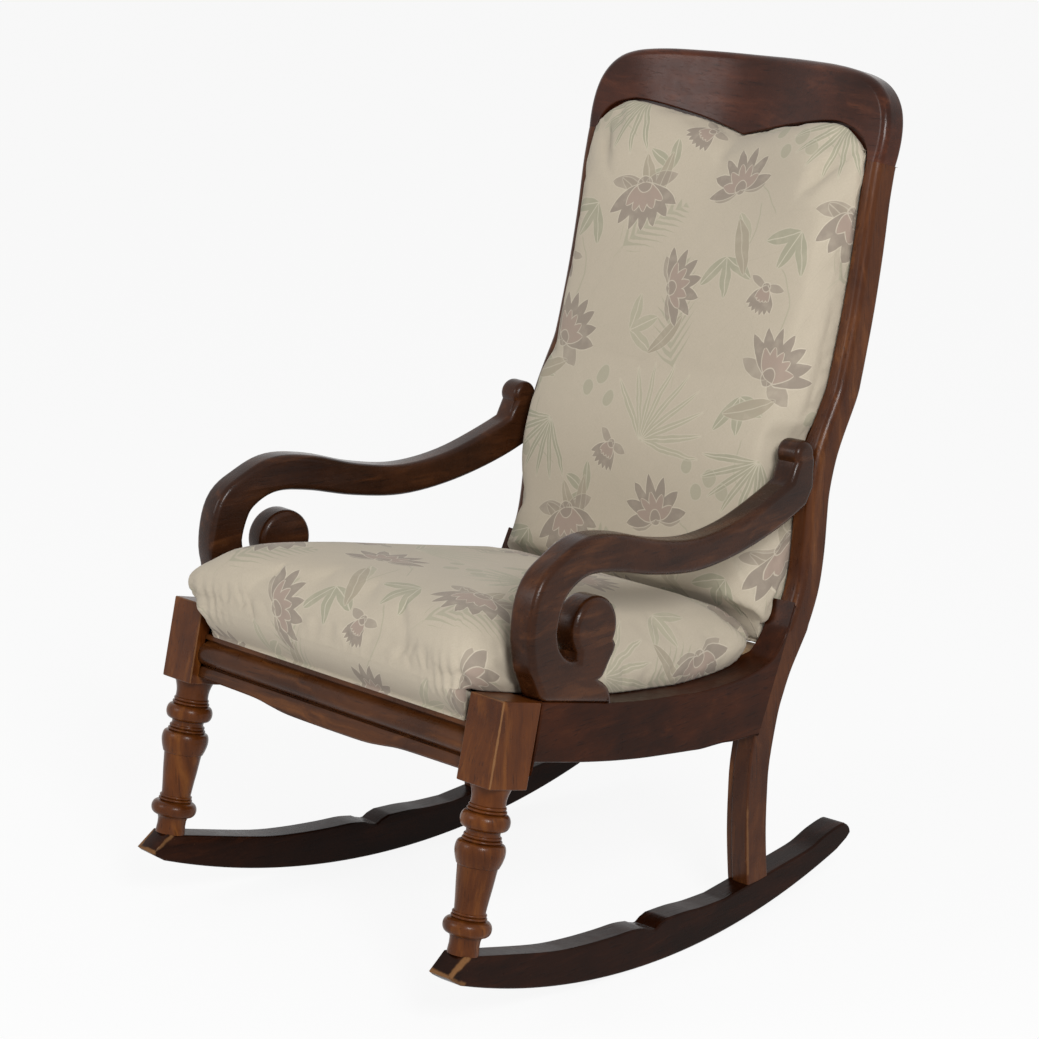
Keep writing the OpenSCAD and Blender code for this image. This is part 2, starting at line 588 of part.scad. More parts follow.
module side_rail_space(gap)
    translate([rail_out_x, rail_y0, 0]) rotate([0, 0, atan(rail_toe)])
        translate([-side_rail_t / 2, -rail_y0, 0]) side_view(side_rail_t + 2 * gap)
            polygon(concat(rail_top, flip(concat([[0, rail_bottom[0][1]]], rail_bottom))));

// Where the rail sweeps up, it is only as thick as the post's outer part
module rail_horn_cut()
    translate([0, seat_run, rail_top_z(seat_run)]) cube([post_foot_x - post_t / 2, over, 2 * over]);

tenon_h = block_h * 0.45;
side_tenon_low = block_h * 0.62;
front_tenon_low = block_h * 0.8;
tenon_root = rail_tenon_len / 2;
module side_rail_front_tenon(gap)
    in_seat_frame() translate([leg_x - gap, block_d - rail_tenon_len - gap, -side_tenon_low - gap])
        cube([rail_tenon_t + 2 * gap, rail_tenon_len + tenon_root + gap, tenon_h + 2 * gap]);

// The rear tenon lies level and starts inside the rail
rear_tenon_z = mid(rail_bottom_z(seat_run), rail_top_z(seat_run), 0.25);
rear_tenon_x = post_foot_x + rail_tenon_t / 5;
module side_rail_rear_tenon(gap)
    translate([rear_tenon_x - gap, post_front(rear_tenon_z) - tenon_root, rear_tenon_z - gap])
        cube([rail_tenon_t + 2 * gap, tenon_root + rail_tenon_len + gap, tenon_h + 2 * gap]);

module side_rail() {
    color(mahogany) difference() {
        union() {
            difference() {
                side_rail_space(0);
                block_space(0);
                in_seat_frame() translate([0, -over, -2 * block_h])
                    cube([2 * leg_x, over + block_d, 3 * block_h]);
                behind_posts();
            }
            side_rail_front_tenon(0);
            side_rail_rear_tenon(0);
        }
        rail_horn_cut();
        arm_foot_dowels(fit_gap);
        side_corner_screws(fit_gap);
    }
}

// Front rail: moulded section, as depth behind the blocks' face and height below their top
front_rail_top_share = -0.065;
front_face_bottom_share = -0.36;
moulding_shares = [[1, -0.375], [1, -0.425], [1.35, -0.44], [1.2, -0.47], [0.75, -0.51],
    [0.5, -0.56], [0.42, -0.61], [0.5, -0.66], [0.75, -0.71], [1.2, -0.745], [1.35, -0.76],
    [1.05, -0.775], [0.9, -0.82], [0.85, -0.9], [0.85, -1.05]];
// Lower edge of its right half, as shares of half its length and of the block's height
lower_edge_shares = [[0, -0.99], [0.28, -0.985], [0.42, -0.955], [0.55, -0.92], [0.8, -0.91],
    [1, -0.905]];
front_rail_half = leg_x - block_w / 2;

module front_rail() {
    edge = curve(sized(lower_edge_shares, [front_rail_half, block_h]), 3);
    section = concat([[front_rail_in + front_rail_t, front_rail_top_share * block_h],
        [front_rail_face_in, front_rail_top_share * block_h],
        [front_rail_face_in, front_face_bottom_share * block_h]],
        sized(moulding_shares, [front_rail_in, block_h]),
        [[front_rail_in + front_rail_t, -1.05 * block_h]]);
    color(mahogany) difference() {
        union() {
            in_seat_frame() intersection() {
                side_view(2 * front_rail_half) polygon(section);
                translate([0, over + block_d, 0]) rotate([90, 0, 0]) linear_extrude(2 * over + block_d)
                    polygon(concat([for (p = flip(edge)) [-p[0], p[1]]], edge,
                        [[front_rail_half, block_h], [-front_rail_half, block_h]]));
            }
            front_rail_tenon(0);
        }
        for (side = [-1, 1]) on_side(side) front_corner_screw(fit_gap);
    }
}

module front_rail_tenon(gap)
    in_seat_frame() translate([-front_rail_half - rail_tenon_len - gap,
        front_rail_in + front_rail_t / 2 - rail_tenon_t / 2 - gap, -front_tenon_low - gap])
        cube([2 * (front_rail_half + rail_tenon_len + gap), rail_tenon_t + 2 * gap,
            tenon_h + 2 * gap]);

// Rails between the posts: boards that follow the posts' curve in the side view, set in from the
// posts' front and back faces
rear_rail_z_shares = [0.2674, 0.361];
lower_back_z_shares = [0.388, 0.447];
rear_rail_back_in = post_d - cross_rail_t;
function stations(from, to) = concat([from], [for (p = post_line) if (p[0] > from && p[0] < to)
    p[0]], [to]);
function z_steps(shares) = stations(shares[0] * post_top_z, shares[1] * post_top_z);
module cross_rail(shares, front_in, back_in)
    difference() {
        side_view(2 * post_foot_x) polygon(concat(
            [for (z = z_steps(shares)) [post_front(z) + front_in * post_grow(z), z]],
            flip([for (z = z_steps(shares)) [post_back(z) - back_in, z]])));
        for (side = [-1, 1]) on_side(side) beyond_post();
    }
tenon_t = cross_rail_t / 3;
cross_tenon_h_share = 0.6;
module cross_tenon(shares, inset, gap) {
    z = post_top_z * mid(shares[0], shares[1], 0.5);
    h = post_top_z * (shares[1] - shares[0]) * cross_tenon_h_share;
    reach = post_x(z) - post_t / 2 + rail_tenon_len;
    translate([0, post_y(z) + inset, z]) rotate([-atan(post_slope(z)), 0, 0])
        cube([2 * (reach + gap), tenon_t + 2 * gap, h + 2 * gap], center = true);
}
module rear_rail_tenon(gap)
    cross_tenon(rear_rail_z_shares, -rear_rail_back_in / 2, gap);
module lower_back_rail_tenon(gap)
    cross_tenon(lower_back_z_shares, rebate_d / 2, gap);

module rear_rail() {
    color(beech) difference() {
        union() {
            cross_rail(rear_rail_z_shares, 2 * fit_gap, rear_rail_back_in);
            rear_rail_tenon(0);
        }
        for (side = [-1, 1]) on_side(side) rear_corner_screw(fit_gap);
    }
}

module lower_back_rail() {
    color(beech) {
        cross_rail(lower_back_z_shares, rebate_d, 0);
        lower_back_rail_tenon(0);
    }
}

// Corner blocks: triangular prisms cut back to the rails, the legs and the posts
front_inner_d = front_rail_in + front_rail_t;
function inner_x(y) = rail_outer_x(y) - side_rail_t;
front_block_drop = block_h * 0.15;
block_root = side_rail_t / 2;
module corner_prism(x) linear_extrude(corner_block_h) polygon([[x + block_root, 0],
    [x + block_root, corner_block_side - block_root], [x, corner_block_side],
    [x - corner_block_side, 0]]);
module front_corner_block_body()
    difference() {
        in_seat_frame() translate([0, front_inner_d + fit_gap, -front_block_drop - corner_block_h])
            corner_prism(inner_x(rail_y0));
        side_rail_space(fit_gap);
        block_space(fit_gap);
    }

rear_block_z = post_top_z * 0.298;
rear_block_y = post_front(rear_block_z);
rear_slope_a = atan(post_slope(rear_block_z));
module rear_corner_place()
    translate([0, rear_block_y, rear_block_z]) rotate([-rear_slope_a, 0, 0]) children();
module rear_corner_block_body()
    difference() {
        rear_corner_place() translate([0, -fit_gap, -corner_block_h / 2]) mirror([0, 1, 0])
            corner_prism(inner_x(rear_block_y));
        side_rail_space(fit_gap);
        post_space(fit_gap);
        translate([0, -fit_gap, 0]) cross_rail(rear_rail_z_shares, 2 * fit_gap, rear_rail_back_in);
    }

// Wood screw along +Y with its head's face at the origin
module screw(gap)
    rotate([-90, 0, 0]) {
        cylinder(d = screw_d + 2 * gap, h = screw_len + gap);
        translate([0, 0, -screw_head_d / 2]) cylinder(d = screw_head_d + 2 * gap, h = screw_head_d);
    }
screw_in = corner_block_side * 0.5;
side_screw_in = corner_block_side * 0.55;
front_screw_t = -front_block_drop - corner_block_h / 2;
module front_corner_screw(gap)
    in_seat_frame() translate([inner_x(rail_y0) - screw_in, front_inner_d + screw_head_d,
        front_screw_t]) rotate([0, 0, 180]) screw(gap);
module rear_corner_screw(gap)
    rear_corner_place() translate([inner_x(rear_block_y) - screw_in, -screw_head_d, 0]) screw(gap);
module side_corner_screws(gap) {
    in_seat_frame() translate([inner_x(rail_y0) - screw_head_d, front_inner_d + side_screw_in,
        front_screw_t]) rotate([0, 0, -90]) screw(gap);
    rear_corner_place() translate([inner_x(rear_block_y) - screw_head_d, -side_screw_in, 0])
        rotate([0, 0, -90]) screw(gap);
}

module front_corner_block()
    color(beech) difference() {
        front_corner_block_body();
        front_corner_screw(fit_gap);
        side_corner_screws(fit_gap);
    }
module rear_corner_block()
    color(beech) difference() {
        rear_corner_block_body();
        rear_corner_screw(fit_gap);
        side_corner_screws(fit_gap);
    }
module corner_block_screws()
    color(steel) for (side = [-1, 1]) on_side(side) {
        front_corner_screw(0);
        rear_corner_screw(0);
        side_corner_screws(0);
    }

// Seat upholstery: outline of its right half in plan. The sides follow the arms' inner faces
seat_front_y = seat_yz(0, 0)[0] - front_rail_in;
seat_rear_y = seat_run + seat_tuck;
seat_mid_y = mid(seat_front_y, seat_rear_y, 0.5);
function seat_side_x(y) = arm_centre_x(y) - arm_t / 2 - 2 * cloth_gap;
function seat_y(share) = mid(seat_front_y, seat_rear_y, share);
rail_shift = side_rail_t * rail_toe;
function seat_base_z(y) = let(c = min(y, seat_run)) max(rail_top_z(c), rail_top_z(c + rail_shift));
// Each point: share of the run from front to rear, and share of the half width there
seat_outline_shares = [[0, 0], [0, 0.3], [0, 0.6], [0.001, 0.78], [0.01, 0.875], [0.028, 0.92],
    [0.055, 0.945], [0.095, 0.96], [0.14, 0.975], [0.2, 0.995], [0.3, 1], [0.42, 1], [0.55, 1],
    [0.7, 1], [0.82, 1], [0.9, 0.985], [0.945, 0.955], [0.968, 0.905], [0.985, 0.83],
    [0.997, 0.72], [1, 0.55], [1, 0.27], [1, 0]];
seat_half = [for (p = seat_outline_shares) let(y = seat_y(p[0])) [p[1] * seat_side_x(y), y]];
seat_outline = concat(seat_half, [for (k = [len(seat_half) - 2:-1:1])
    [-seat_half[k][0], seat_half[k][1]]]);
function crown_z(y) = mid(seat_crown_front_z, seat_crown_rear_z,
    (y - seat_front_y) / (seat_rear_y - seat_front_y));
// Profile from rim to middle: share of the way out, and share of the crown's height
cushion_shares = [[0.968, 0], [0.99, 0.13], [1, 0.28], [0.985, 0.46], [0.945, 0.62],
    [0.87, 0.77], [0.75, 0.88], [0.57, 0.955], [0.34, 0.99]];
cushion_core_shares = [[0.97, 0.04], [0.998, 0.26], [0.942, 0.62], [0.745, 0.875], [0.34, 0.985]];
under_shares = [[0.955, 0], [0.88, 0.3], [0.76, 0.58], [0.58, 0.82], [0.34, 0.96]];
under_level_share = 0.34;
function seat_rings(profile, inset, sink, level, lift) = let(k = 1 - inset / seat_side_x(seat_mid_y))
    [for (q = profile) [for (o = seat_outline) let(x = o[0] * k * q[0],
        y = seat_mid_y + (o[1] - seat_mid_y) * k * q[0],
        base = seat_base_z(y) + lift)
        [x, y, base + q[1] * (level * (crown_z(y) - seat_base_z(y)) - sink)]]];
function seat_centre(sink, level, lift) = let(base = seat_base_z(seat_mid_y))
    [0, seat_mid_y, base + lift + level * (crown_z(seat_mid_y) - base) - sink];

// A closed body between an upper and a lower skin, each given by rings from rim to middle
module between_skins(top, top_centre, low, low_centre) {
    n = len(top[0]);
    a = len(top);
    b = len(low);
    pts = concat([for (r = top) each r], [top_centre], [for (r = low) each r], [low_centre]);
    t_c = a * n;
    l0 = t_c + 1;
    l_c = l0 + b * n;
    polyhedron(points = pts, faces = concat(
        [for (j = [0:a - 2], i = [0:n - 1]) [j * n + i, (j + 1) * n + i, j * n + (i + 1) % n]],
        [for (j = [0:a - 2], i = [0:n - 1])
            [(j + 1) * n + i, (j + 1) * n + (i + 1) % n, j * n + (i + 1) % n]],
        [for (i = [0:n - 1]) [(a - 1) * n + i, t_c, (a - 1) * n + (i + 1) % n]],
        [for (j = [0:b - 2], i = [0:n - 1])
            [l0 + j * n + i, l0 + j * n + (i + 1) % n, l0 + (j + 1) * n + i]],
        [for (j = [0:b - 2], i = [0:n - 1])
            [l0 + (j + 1) * n + i, l0 + j * n + (i + 1) % n, l0 + (j + 1) * n + (i + 1) % n]],
        [for (i = [0:n - 1]) [l0 + (b - 1) * n + i, l0 + (b - 1) * n + (i + 1) % n, l_c]],
        [for (i = [0:n - 1]) [i, (i + 1) % n, l0 + i]],
        [for (i = [0:n - 1]) [l0 + i, (i + 1) % n, l0 + (i + 1) % n]]));
}

hessian_lift = cloth_gap + cloth_t;
stuffing_lift = hessian_lift + cloth_gap;
stuffing_inset = cover_t + cloth_gap;
hessian_inset = 2 * cover_t + cloth_t;

// Fabric that rolls over the front rail between the blocks: the front of its section from top to
// bottom, as shares of the front rail's setback and of the block's height
lip_shares = [[-0.27, 0.016], [-0.2, -0.05], [0, -0.12], [0.28, -0.2], [0.55, -0.28],
    [0.74, -0.335], [0.84, -0.36]];
lip_top = cover_t;
module seat_lip()
    in_seat_frame() side_view(2 * (front_rail_half - cloth_gap)) polygon(concat(
        sized(lip_shares, [front_rail_face_in, block_h]),
        [[front_rail_face_in - cloth_gap, front_face_bottom_share * block_h],
        [front_rail_face_in - cloth_gap, front_rail_top_share * block_h + cloth_gap],
        [front_inner_d, front_rail_top_share * block_h + cloth_gap], [front_inner_d, 0],
        [lip_shares[0][0] * front_rail_face_in + cover_t, 0],
        [lip_shares[0][0] * front_rail_face_in + cover_t, lip_top]]));

module seat_cover()
    color(floral) {
        between_skins(seat_rings(cushion_shares, 0, 0, 1, cloth_gap), seat_centre(0, 1, cloth_gap),
            seat_rings(cushion_shares, cover_t, cover_t, 1, cloth_gap),
            seat_centre(cover_t, 1, cloth_gap));
        seat_lip();
    }
module seat_stuffing()
    color(hair) between_skins(
        seat_rings(cushion_core_shares, stuffing_inset, stuffing_inset, 1, cloth_gap),
        seat_centre(stuffing_inset, 1, cloth_gap),
        seat_rings(under_shares, stuffing_inset, 0, under_level_share, stuffing_lift),
        seat_centre(0, under_level_share, stuffing_lift));
module seat_hessian()
    color(jute) between_skins(
        seat_rings(under_shares, hessian_inset, 0, under_level_share, hessian_lift),
        seat_centre(0, under_level_share, hessian_lift),
        seat_rings(under_shares, hessian_inset, 0, under_level_share, cloth_gap),
        seat_centre(0, under_level_share, cloth_gap));

// Webbing and springs lie between the rails, in a plane that falls to the rear
web_front_z = block_top_z * 0.805;
web_rear_z = block_top_z * 0.678;
web_front_y = block_top_y + front_inner_d;
web_slope_a = atan((web_front_z - web_rear_z) / (seat_run - web_front_y));
function web_z(y) = web_front_z - (y - web_front_y) * tan(web_slope_a);
spring_x = front_rail_half * 0.44;
spring_y = [for (s = [0.33, 0.7]) mid(web_front_y, seat_run, s)];
web_pitch = (spring_y[1] - spring_y[0]) / 2;
// Straps pass over and under one another: height of a strap's middle near its crossings
web_rise = (web_t + cloth_gap) / 2;
weave_gain = 2.2;
function weave(u) = web_rise * max(-1, min(1, weave_gain * cos(180 * u)));
weave_steps = 48;
module strap(from, to, pitch, phase) {
    line = [for (k = [0:weave_steps]) let(u = mid(from, to, k / weave_steps))
        [u, weave((u - phase) / pitch)]];
    polygon(concat([for (p = line) [p[0], p[1] - web_t / 2]],
        flip([for (p = line) [p[0], p[1] + web_t / 2]])));
}
module web_place(y)
    translate([0, y, web_z(y)]) rotate([-web_slope_a, 0, 0]) children();
module seat_webbing()
    color(jute) difference() {
        union() {
            for (i = [-1:1]) translate([i * spring_x, 0, 0]) web_place(spring_y[0])
                side_view(web_w) strap(web_front_y - spring_y[0] - web_w, seat_run - spring_y[0],
                    web_pitch, i * web_pitch);
            for (k = [-1:2]) let(y = spring_y[0] + k * web_pitch, w = inner_x(y) + web_w / 4)
                web_place(y) rotate([90, 0, 0]) linear_extrude(web_w, center = true)
                    strap(-w, w, spring_x, (k % 2 == 0 ? 1 : 0) * spring_x);
        }
        for (side = [-1, 1]) on_side(side) side_rail_space(cloth_gap);
        in_seat_frame() translate([-leg_x, -2 * seat_run + front_inner_d + cloth_gap, -2 * block_h])
            cube([2 * leg_x, 2 * seat_run, 4 * block_h]);
        translate([0, -cloth_gap, 0]) cross_rail(rear_rail_z_shares, 0, -post_top_z);
    }

// Springs: each ring of a coil keeps its share of the way from the webbing to the hessian
spring_turns = 3;
spring_wire_sides = 6;
rings_per_turn = 8;
spring_waist = 0.24;
spring_flat_turns = 0.7;
under_depth = [for (q = flip(under_shares)) [q[0], q[1]]];
function hessian_z(x, y) = let(k = 1 - hessian_inset / seat_side_x(seat_mid_y),
    r = max(abs(x) / seat_side_x(y), abs(y - seat_mid_y) / (seat_rear_y - seat_mid_y)) / k,
    base = seat_base_z(y))
    base + lookup(r, under_depth) * under_level_share * (crown_z(y) - base);
spring_clear = 4 * cloth_gap;
function coil_share(t) =
    max(0, min(1, (t - spring_flat_turns) / (spring_turns - 2 * spring_flat_turns)));
function coil_point(c, t) = let(v = coil_share(t), a = 360 * t,
    r = spring_d / 2 * (1 - spring_waist * sin(180 * v)),
    x = c[0] + r * cos(a), y = c[1] + r * sin(a),
    low = web_z(y) + web_rise + web_t / 2 + wire_d / 2 + cloth_gap,
    high = hessian_z(x, y) - wire_d / 2 - spring_clear)
    [x, y, mid(low, high, v)];
coil_count = spring_turns * rings_per_turn;
function coil_line(c) = [for (k = [0:coil_count]) coil_point(c, k / rings_per_turn)];
function coil_ring(p, c) = let(out = [p[0] - c[0], p[1] - c[1]] / norm([p[0] - c[0], p[1] - c[1]]))
    [for (i = [0:spring_wire_sides - 1]) let(a = 360 * i / spring_wire_sides)
        p + wire_d / 2 * [out[0] * cos(a), out[1] * cos(a), sin(a)]];
module spring(c)
    loft([for (p = coil_line(c)) coil_ring(p, c)]);
function self_gap(line) = min([for (i = [0:len(line) - 1], j = [0:len(line) - 1])
    if (j - i > rings_per_turn / 2) norm(line[j] - line[i])]) - wire_d;
module seat_springs()
    color(steel) for (i = [-1:1], y = spring_y) {
        echo(spring_self_gap = self_gap(coil_line([i * spring_x, y])));
        spring([i * spring_x, y]);
    }

// Bottoming cloth, tacked under the rails
cloth_in = side_rail_t / 4;
cloth_front_y = seat_yz(front_inner_d, -side_tenon_low)[0] + 2 * cloth_gap;
cloth_line = [for (y = concat([cloth_front_y], [for (p = rail_bottom)
    if (p[0] - rail_shift > cloth_front_y && p[0] - rail_shift < seat_run) p[0] - rail_shift],
    [seat_run])) [y, rail_bottom_z(y + rail_shift) - 2 * cloth_gap]];
module bottoming_cloth()
    color(lining) difference() {
        intersection() {
            side_view(2 * leg_x) polygon(concat(cloth_line,
                flip([for (p = cloth_line) [p[0], p[1] - cloth_t]])));
            linear_extrude(block_top_z) polygon([for (q = [[1, cloth_front_y], [1, seat_run],
                [-1, seat_run], [-1, cloth_front_y]]) [q[0] * (rail_outer_x(q[1]) - cloth_in), q[1]]]);
        }
        for (side = [-1, 1]) on_side(side) {
            block_space(cloth_gap);
            post_space(cloth_gap);
        }
    }

// Back upholstery: the rebates of posts and crest rail carry it. The floor of the rebate is the
// plane that its layers build forward from, hollowed across the crest rail
hollow_shares = [0.84, 0.98];
function hollow(x, z) = dish(x) / cos(crest_tilt)
    * smooth_step((z / post_top_z - hollow_shares[0]) / (hollow_shares[1] - hollow_shares[0]));
function back_floor(x, z) = post_front(z) + rebate_d * post_grow(z) + hollow(x, z);
function rebate_x(z) = post_x(z) + post_t / 2 - post_face_w(z) - cloth_gap;
// Beside the arms the pad draws in to their inner faces
beside_arm_shares = [0.55, 0.65];
function pad_x(z) = z > beside_arm_shares[0] * post_top_z && z < beside_arm_shares[1] * post_top_z
    ? min(rebate_x(z), arm_centre_x(arm_end_y) - arm_t / 2 - cloth_gap) : rebate_x(z);
// Outline of its right half: lower edge as shares of rebate_x and of post_top_z, sides along the
// rebates, upper edge along the crest rail's inner edge
back_low_shares = [[0, 0.402], [0.35, 0.402], [0.65, 0.403], [0.8, 0.406], [0.88, 0.412],
    [0.915, 0.421], [0.95, 0.433]];
back_side_shares = [0.453, 0.51, 0.567, 0.595, 0.622, 0.643, 0.665, 0.683, 0.7, 0.746, 0.81,
    0.884, 0.948];
crest_inner = curve(sized(crest_inner_shares, [crest_half_w, crest_h]), 1);
function on_crest(p) = [p[0], post_top_z + p[1] * cos(crest_tilt)];
back_half = concat(
    [for (p = back_low_shares) let(z = p[1] * post_top_z) [p[0] * rebate_x(z), z]],
    [for (s = back_side_shares) [pad_x(s * post_top_z), s * post_top_z]],
    [for (p = crest_inner) if (p[1] > 0) on_crest(p - [p[0] > 0 ? cloth_gap : 0, cloth_gap])]);
back_last = len(back_half) - 1;
back_outline = concat(back_half, [for (k = [back_last - 1:-1:1]) [-back_half[k][0], back_half[k][1]]]);
back_mid_z = post_top_z * 0.7;
back_half_w = rebate_x(back_mid_z);
// Profile from rim to middle: share of the way out, and share of the swell
pad_shares = [[0.985, 0], [0.987, 0.16], [1, 0.34], [0.99, 0.55], [0.94, 0.74], [0.83, 0.89],
    [0.62, 0.965], [0.32, 0.995]];
pad_core_shares = concat([[0.975, 0.14]], [for (k = [2:len(pad_shares) - 1]) pad_shares[k]]);
sheet_shares = [[0.965, 0], [0.55, 0.8]];
sheet_swell_share = 0.12;
swell_top_share = 0.66;
full_swell_share = 0.62;
function swell(z) = back_swell * mid(1, swell_top_share,
    smooth_step((z / post_top_z - full_swell_share) / (1 - full_swell_share)));
function back_point(x, z, q, sink, level, lift) =
    [x, back_floor(x, z) - lift - q * (level * swell(z) - sink), z];
function back_rings(profile, inset, sink, level, lift) = let(k = 1 - inset / back_half_w)
    [for (q = profile) [for (o = back_outline) back_point(o[0] * k * q[0],
        back_mid_z + (o[1] - back_mid_z) * k * q[0], q[1], sink, level, lift)]];
function back_centre(sink, level, lift) = back_point(0, back_mid_z, 1, sink, level, lift);

back_web_lift = cloth_gap;
back_rim_lift = 3 * cloth_gap;
back_hessian_lift = back_web_lift + web_t + back_rim_lift;
back_sheet_lift = back_hessian_lift + cloth_t;
back_stuffing_lift = back_sheet_lift + cloth_gap;

module back_cover()
    color(floral) between_skins(back_rings(pad_shares, 0, 0, 1, back_rim_lift),
        back_centre(0, 1, back_rim_lift), back_rings(pad_shares, cover_t, cover_t, 1, back_rim_lift),
        back_centre(cover_t, 1, back_rim_lift));
module back_stuffing()
    color(hair) between_skins(
        back_rings(pad_core_shares, stuffing_inset, stuffing_inset, 1, back_rim_lift),
        back_centre(stuffing_inset, 1, back_rim_lift),
        back_rings(sheet_shares, stuffing_inset, 0, sheet_swell_share, back_stuffing_lift),
        back_centre(0, sheet_swell_share, back_stuffing_lift));
module back_hessian()
    color(jute) between_skins(
        back_rings(sheet_shares, stuffing_inset, 0, sheet_swell_share, back_sheet_lift),
        back_centre(0, sheet_swell_share, back_sheet_lift),
        back_rings(sheet_shares, stuffing_inset, 0, sheet_swell_share, back_hessian_lift),
        back_centre(0, sheet_swell_share, back_hessian_lift));

// Back webbing: level straps across the posts' rebates and the lower back rail
back_web_shares = [0.49, 0.69, 0.78];
pad_side = [for (s = back_side_shares) [s * post_top_z, pad_x(s * post_top_z)]];
function back_web_x(z) = min(lookup(z - web_w / 2, pad_side), lookup(z + web_w / 2, pad_side))
    * pad_shares[0][0] - cover_t - 2 * cloth_gap;
function web_line(z) = [for (v = stations(z - web_w / 2, z + web_w / 2))
    [back_floor(post_foot_x, v) - back_web_lift, v]];
module back_webbing()
    color(jute) for (s = back_web_shares) let(line = web_line(s * post_top_z))
        side_view(2 * back_web_x(s * post_top_z)) polygon(concat(line,
            flip([for (p = line) [p[0] - web_t, p[1]]])));

// Outside back cloth: it lies behind the posts and is hollowed with the crest rail
outside_in = post_t / 3;
outside_z_shares = [0.392, 1.035];
outside_x_shares = [for (k = [8:-1:-8]) k / 8];
function outside_y(x, z) = post_back(z) + hollow(x, z) + 2 * cloth_gap;
function outside_w(z) = post_x(z) + post_t / 2 - outside_in;
function outside_grid(extra) = [for (z = z_steps(outside_z_shares))
    [for (u = outside_x_shares) let(x = u * outside_w(z)) [x, outside_y(x, z) + extra, z]]];
module outside_back_cloth()
    color(lining) sheet(outside_grid(0), outside_grid(cloth_t));

// The chair stands over the origin: half its depth, from the rockers' tips to the crest rail's
// back, lies on either side
chair_front_y = -rocker_front * cos(rocker_toe) - rocker_t / 2 * sin(rocker_toe);
chair_back_y = back_reach + (post_d / 2 + crest_dish) * cos(crest_tilt)
    + (crest_h - crest_back_round) * sin(crest_tilt);
module placed(side)
    translate([0, -(chair_front_y + chair_back_y) / 2, 0]) on_side(side) children();

placed(-1) rocker();  // left_rocker
placed(1) rocker();  // right_rocker
placed(-1) front_leg();  // left_front_leg
placed(1) front_leg();  // right_front_leg
placed(-1) back_post();  // left_back_post
placed(1) back_post();  // right_back_post
placed(1) crest_rail();
placed(1) crest_dowels();
placed(-1) arm();  // left_arm
placed(1) arm();  // right_arm
placed(1) arm_dowels();
placed(1) front_rail();
placed(-1) side_rail();  // left_side_rail
placed(1) side_rail();  // right_side_rail
placed(1) rear_rail();
placed(1) lower_back_rail();
placed(-1) front_corner_block();  // front_left_corner_block
placed(1) front_corner_block();  // front_right_corner_block
placed(-1) rear_corner_block();  // rear_left_corner_block
placed(1) rear_corner_block();  // rear_right_corner_block
placed(1) corner_block_screws();
placed(1) seat_webbing();
placed(1) seat_springs();
placed(1) seat_hessian();
placed(1) seat_stuffing();
placed(1) seat_cover();
placed(1) bottoming_cloth();
placed(1) back_webbing();
placed(1) back_hessian();
placed(1) back_stuffing();
placed(1) back_cover();
placed(1) outside_back_cloth();
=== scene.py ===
import math
import bpy
from mathutils import Matrix, Vector


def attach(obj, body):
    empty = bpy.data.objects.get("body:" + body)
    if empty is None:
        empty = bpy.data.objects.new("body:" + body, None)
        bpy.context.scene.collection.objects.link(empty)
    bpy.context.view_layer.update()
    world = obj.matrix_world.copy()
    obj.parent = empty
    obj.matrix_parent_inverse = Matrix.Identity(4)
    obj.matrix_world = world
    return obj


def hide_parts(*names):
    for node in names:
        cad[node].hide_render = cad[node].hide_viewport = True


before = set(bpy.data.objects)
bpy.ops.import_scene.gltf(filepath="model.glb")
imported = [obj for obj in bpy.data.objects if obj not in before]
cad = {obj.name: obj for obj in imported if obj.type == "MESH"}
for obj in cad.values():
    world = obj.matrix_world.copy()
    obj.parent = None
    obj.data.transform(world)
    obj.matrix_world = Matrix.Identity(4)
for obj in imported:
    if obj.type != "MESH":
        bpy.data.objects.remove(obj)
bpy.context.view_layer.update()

# Studio: a pale floor, a white surround, and soft lamps over the chair's front right and left.
# The camera stands where the photograph was taken from, a little above the seat.
bpy.context.scene.view_settings.view_transform = "Standard"
eye = bpy.data.cameras.new("photo_camera")
eye.sensor_width = 36
eye.lens = 107.41
eye.clip_start = 0.1
eye.clip_end = 60
camera = bpy.data.objects.new("photo_camera", eye)
camera.location = (2.5316, -2.3862, 1.3235)
camera.rotation_euler = (math.radians(75.974), 0, math.radians(47.081))
bpy.context.scene.collection.objects.link(camera)
bpy.context.scene.camera = camera


